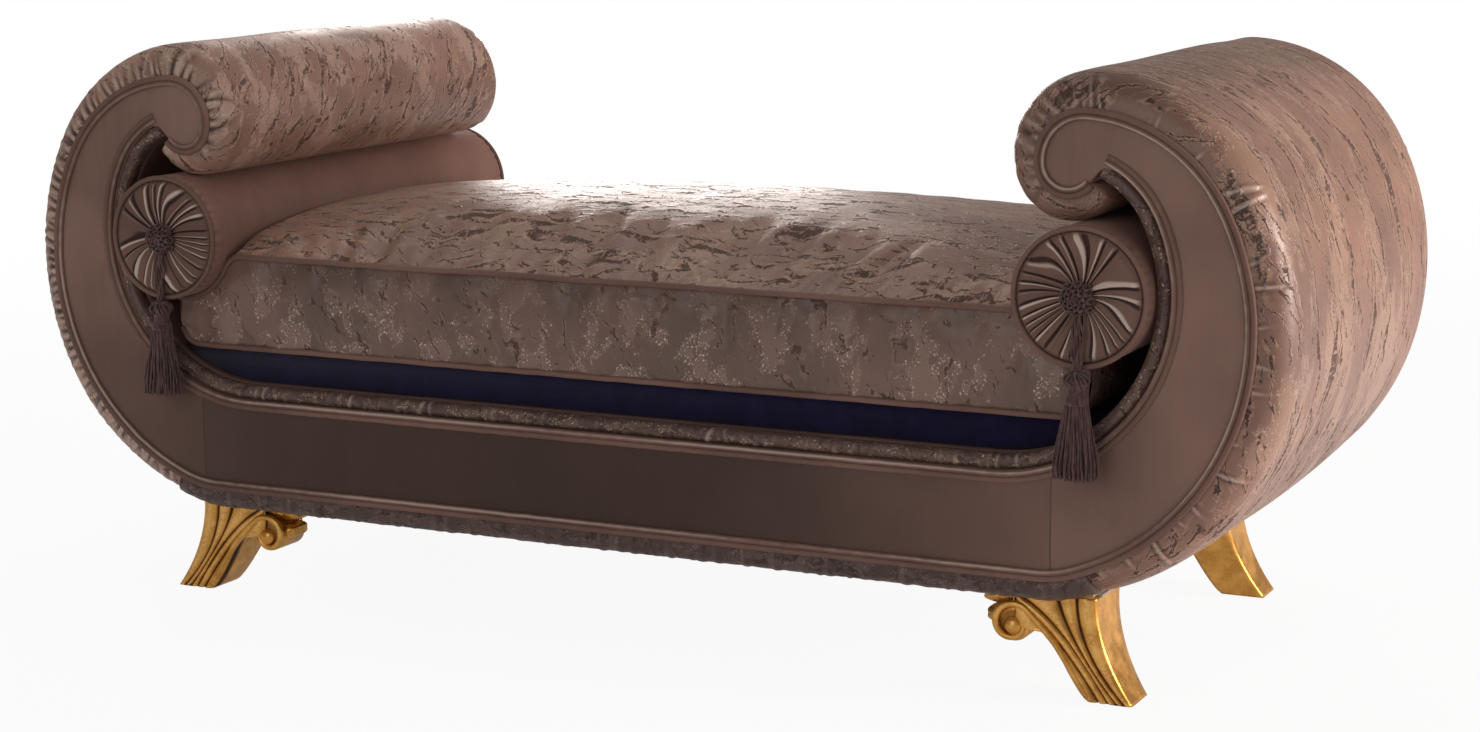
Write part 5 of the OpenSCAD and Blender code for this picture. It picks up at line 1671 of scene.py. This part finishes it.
for edge, seam, drop, seed in (("top", topSeam, -0.001, 3), ("bottom", baseSeam, 0.004, 5)):
    dress(makePiping("cushion_%s_cord" % edge, seam, drop, 0.0025, seed), weltVelvet, "cushion",
          ["cushion_%s_piping" % edge])
print("cushion made")

# legs: fluted, splayed, with a volute and curled leaves
leg = {
    "height": 0.137, "recess": 0.044, "outerX": 0.687, "splay": 0.050, "footWidth": 0.061,
    "footDepth": 0.062, "topDepth": 0.095, "flute": 0.006, "fan": 0.147, "volute": 0.0245,
    "eye": 0.0125, "bead": 0.0042, "rows": 46, "fluteSteps": 10, "glide": 0.003,
    "waist": 0.54, "arch": 0.63, "waistWidth": 0.77, "pinch": 0.0017, "bandAhead": 0.0022,
    "spiral": 0.0285, "spiralTurn": 400,
}
legFace = frontY + leg["recess"]
legBackX = leg["outerX"] + leg["splay"] - leg["footWidth"]
voluteC = (leg["outerX"] - 0.762 * leg["fan"], 0.686 * leg["height"])


def legInner(share):
    # the shaft's inner side: in from the foot to the waist, then round into the volute
    waist, arch, pinch = leg["waist"], leg["arch"], leg["pinch"]
    if share < waist:
        return legBackX - leg["footWidth"] * leg["waistWidth"] * (share / waist) ** 0.75
    if share < arch:
        t = (share - waist) / (arch - waist)
        bend = 1 - math.sqrt(max(0, 1 - t * t))
        return legBackX - leg["footWidth"] * leg["waistWidth"] - (leg["volute"] - pinch) * bend
    return voluteC[0] + pinch


def legRow(share):
    # one level of the shaft: five flutes in front, then round the side and the back
    up = 1 - share
    z = leg["glide"] + share * (leg["height"] - leg["glide"])
    inner = legInner(share)
    outer = leg["outerX"] + leg["splay"] * up ** 2
    # the four lines between the flutes: where they stand at the foot and at the top, and their bend
    between = ((0.26, 1, 0.58), (0.46, 0.864, 0.58), (0.65, 0.347, 1.45), (0.82, 0.177, 2.1))
    sliver = leg["fan"] * 0.01
    lines = [inner]
    for k, (footShare, topShare, power) in enumerate(between):
        top = leg["outerX"] - leg["fan"] * topShare
        foot = legBackX + leg["footWidth"] * footShare
        x = top + (foot - top) * up ** power
        lines.append(min(max(x, inner + (k + 1) * sliver), outer - (4 - k) * sliver))
    lines.append(outer)
    back = legFace + leg["footDepth"] + (leg["topDepth"] - leg["footDepth"]) * share
    side = legFace + leg["flute"]
    row, marks = [], []

    def put(places, mark):
        row.extend((x, y, z) for x, y in places)
        marks.extend([mark] * len(places))

    # marks: near 1 on the flutes' ridges for a painted highlight, below zero in the grooves and on
    # the inner side for painted shade
    for k in range(5):
        width = lines[k + 1] - lines[k]
        dip = min(leg["flute"], 0.6 * width)
        for i in range(leg["fluteSteps"]):
            t = i / leg["fluteSteps"]
            groove = 1 - math.sqrt(max(0, 1 - (2 * t - 1) ** 2))
            put([(lines[k] + width * t, legFace + dip * groove)], 1 - 2.2 * groove ** 0.6)
    # the second place is close to the first, to keep the corner tight
    put([(outer, side)] + [(outer, side + (back - side) * t) for t in (0.02, 0.2, 0.5, 0.8, 1.0)],
        0.3)
    put([(outer + (inner - outer) * i / 12, back) for i in range(1, 12)] + [(inner, back)], 0)
    put([(inner, back + (side - back) * i / 5) for i in range(1, 5)], -0.2)
    if len(row) % 2:
        put([(inner, legFace + leg["flute"] * 1.2)], -0.4)
    return row, marks


def makeLeg(name):
    rows, marks = [], []
    for share in np.linspace(0, 1, leg["rows"]):
        row, mark = legRow(float(share))
        rows.append(row)
        marks.append(mark)
    parts = [loftRings("shaft", rows, marks=marks)]
    (cx, cz), volute, deep = voluteC, leg["volute"], leg["footDepth"]
    # volute: a drum with a bead that winds in to the eye
    # the drum's marks: painted shade in the eye's hollow
    sides, drum, drumMarks = 48, [], []
    for y, r, mark in (
            (deep, volute - 0.001, 0.2), (deep - 0.002, volute, 0.2), (0.008, volute, 0.2),
            (0.0055, volute - 0.0012, 0.2), (0.0058, volute * 0.6, -0.5),
            (0.0045, volute * 0.3, -0.5)):
        drum.append([(cx + r * math.cos(a), legFace + y, cz + r * math.sin(a))
                     for a in fullTurn(sides)])
        drumMarks.append([mark] * sides)
    parts.append(loftRings("drum", drum, marks=drumMarks))
    band = []
    for share in np.linspace(0.04, 0.6, 26):
        row, _ = legRow(float(share))
        x0, x1 = row[0][0], row[leg["fluteSteps"]][0]
        band.append((x0 + (x1 - x0) * 0.45, legFace + leg["bandAhead"], row[0][2]))
    start, finish = leg["spiral"], leg["eye"] - 0.001
    for t in np.linspace(0, 1, 90):
        a = math.radians(28 + leg["spiralTurn"] * t)
        r = start - (start - finish) * t ** 1.15
        band.append((cx + r * math.cos(a), legFace + leg["bandAhead"] + 0.001 * t,
                     cz + r * math.sin(a)))
    band = np.array(band)
    for _ in range(10):  # smooths the join of shaft and spiral
        band[1:-1] = (band[:-2] + 2 * band[1:-1] + band[2:]) / 4

    def bead(t):
        return leg["bead"] * (0.35 + 0.85 * math.sin(math.pi * min(1, 0.12 + 0.95 * t)) ** 0.6)

    parts.append(tubeAlong("band", band, bead, 10))
    eye = [(leg["eye"] * math.sin(t), leg["eye"] * 0.75 * math.cos(t))
           for t in np.linspace(0, math.pi, 10)]
    dome = latheShell("eye", eye, 24, (0, 0, 0))
    dome.data.transform(Matrix.Translation((cx + 0.001, legFace + 0.0045, cz - 0.0035))
                        @ Matrix.Rotation(math.pi / 2, 4, "X"))
    parts.append(dome)
    # leaves that curl behind and over the volute
    for px, pz, sx, sz, y0, length in (
            (cx - volute - 0.004, cz + 0.006, 0.012, 0.011, 0.008, 0.046),
            (cx - volute - 0.002, leg["height"] - 0.012, 0.021, 0.011, 0.010, 0.044),
            (cx - volute * 0.2, leg["height"] - 0.010, 0.026, 0.011, 0.007, 0.050)):
        rings = []
        for t in np.linspace(0, 1, 12):
            swell = math.sqrt(max(0.0, 1 - (2 * t - 1) ** 4)) * 0.999 + 0.001
            rings.append([(px + sx * swell * math.cos(a) * (1 + 0.10 * math.cos(5 * a)),
                           legFace + y0 + length * t, pz + sz * swell * math.sin(a))
                          for a in fullTurn(32)])
        parts.append(loftRings("leaf", rings))
    return joinPieces(name, parts)


rightLeg = makeLeg("front_right_carved_leg")
leftLeg = mirroredCopy(rightLeg, "front_left_carved_leg", 0)
frontAndRear(rightLeg, gilt, "right_leg")
frontAndRear(leftLeg, gilt, "left_leg")
print("legs made")

# the solids that stay
kept = (
    (beech, ["cross_rails", "front_seat_rail", "rear_seat_rail", "leg_blocks",
             "left_scroll_battens", "right_scroll_battens"]),
    (plywood, ["front_profile_board", "rear_profile_board", "left_scroll_skin",
               "right_scroll_skin", "left_throat_skin", "right_throat_skin"]),
    (strapWeave, ["webbing"]), (zincSteel, ["leg_plates", "leg_bolts"]), (glideFelt, ["glides"]),
)
for material, nodes in kept:
    for name in nodes:
        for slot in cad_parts[name].material_slots:
            slot.material = material
print("solids finished")

# stage: pale floor, white surroundings, lamps and camera
stage = {"white": 1.0, "dim": 0.30, "floorGlow": 0.93, "fadeFrom": 1.6, "fadeTo": 5.0}


def makeStage():
    material, tree, shader = newMaterial("paleFloor", Roughness=0.9, Specular_IOR_Level=0.1)
    shader.inputs["Base Color"].default_value = (0.86, 0.86, 0.87, 1)
    glow = addNode(tree, "ShaderNodeEmission", {"Color": (1, 1, 1, 1), "Strength": stage["white"]})
    path = tree.nodes.new("ShaderNodeLightPath")
    seen = calc(tree, "MAXIMUM", path.outputs["Is Camera Ray"],
                times(tree, path.outputs["Is Glossy Ray"], 0.3))
    # the floor turns into the white surroundings away from the couch
    far = addNode(tree, "ShaderNodeVectorMath", operation="LENGTH")
    feed(tree, far.inputs[0], coordinates(tree, "Object"))
    glowing = ramp(tree, far.outputs["Value"], stage["fadeFrom"], stage["fadeTo"],
                   stage["floorGlow"], 1.0)
    mix = addNode(tree, "ShaderNodeMixShader", {"Fac": times(tree, seen, glowing)})
    tree.links.new(shader.outputs[0], mix.inputs[1])
    tree.links.new(glow.outputs[0], mix.inputs[2])
    tree.links.new(mix.outputs[0], tree.nodes["Material Output"].inputs["Surface"])
    floor = finishMesh("floor", [(-9, -9, 0), (9, -9, 0), (9, 9, 0), (-9, 9, 0)], [(0, 1, 2, 3)],
                       outward=False, smooth=False)
    floor.data.materials.append(material)
    world = bpy.data.worlds.new("studio")
    scene.world = world
    world.use_nodes = True
    tree = world.node_tree
    back = tree.nodes["Background"]
    path = tree.nodes.new("ShaderNodeLightPath")
    seen = calc(tree, "MAXIMUM", path.outputs["Is Camera Ray"], path.outputs["Is Transmission Ray"])
    strength = calc(tree, "MULTIPLY_ADD", seen, stage["white"] - stage["dim"], stage["dim"])
    tree.links.new(strength, back.inputs["Strength"])
    tree.links.new(blendColours(tree, seen, (1, 0.94, 0.91, 1), (1, 1, 1, 1)), back.inputs["Color"])


def addLamp(name, place, target, power, size, tint):
    data = bpy.data.lights.new(name, "AREA")
    data.energy, data.size, data.color = power, size, tint
    lamp = bpy.data.objects.new(name, data)
    scene.collection.objects.link(lamp)
    lamp.location = place
    lamp.rotation_euler = (Vector(target) - Vector(place)).to_track_quat("-Z", "Y").to_euler()


makeStage()
lamps = {  # place, what it is turned to, power, size, tint
    "side": ((3.5, 0.5, 0.95), (0.8, 0, 0.5), 86, 1.2, (1, 0.88, 0.81)),
    "back": ((-2.35, 3.8, 1.2), (0, 0.1, 0.5), 76, 1.5, (1, 0.93, 0.89)),
    "top": ((-0.8, 0.4, 3.2), (-0.3, 0, 0.5), 16, 1.6, (1, 0.93, 0.89)),
    "front": ((-0.2, -4.2, 1.8), (0, 0, 0.4), 25, 2.4, (1, 0.95, 0.92)),
}
for name, look in lamps.items():
    addLamp(name, *look)

shot = {"place": (1.833, frontY - 3.297, 1.070), "yaw": 26.17, "pitch": 10.21, "roll": 0.364,
        "lens": 69.95}


def makeCamera():
    yaw, pitch, roll = (math.radians(shot[k]) for k in ("yaw", "pitch", "roll"))
    ahead = Vector((-math.sin(yaw) * math.cos(pitch), math.cos(yaw) * math.cos(pitch),
                    -math.sin(pitch)))
    right = Vector((math.cos(yaw), math.sin(yaw), 0))
    down = ahead.cross(right)
    across = right * math.cos(roll) + down * math.sin(roll)
    below = down * math.cos(roll) - right * math.sin(roll)
    data = bpy.data.cameras.new("photo_camera")
    data.lens, data.sensor_width = shot["lens"], 36
    camera = bpy.data.objects.new("photo_camera", data)
    scene.collection.objects.link(camera)
    turn = Matrix((across, -below, -ahead)).transposed()
    camera.matrix_world = Matrix.Translation(shot["place"]) @ turn.to_4x4()
    scene.camera = camera


makeCamera()
scene.view_settings.view_transform = "Standard"
bpy.context.view_layer.update()
print("stage and camera made")
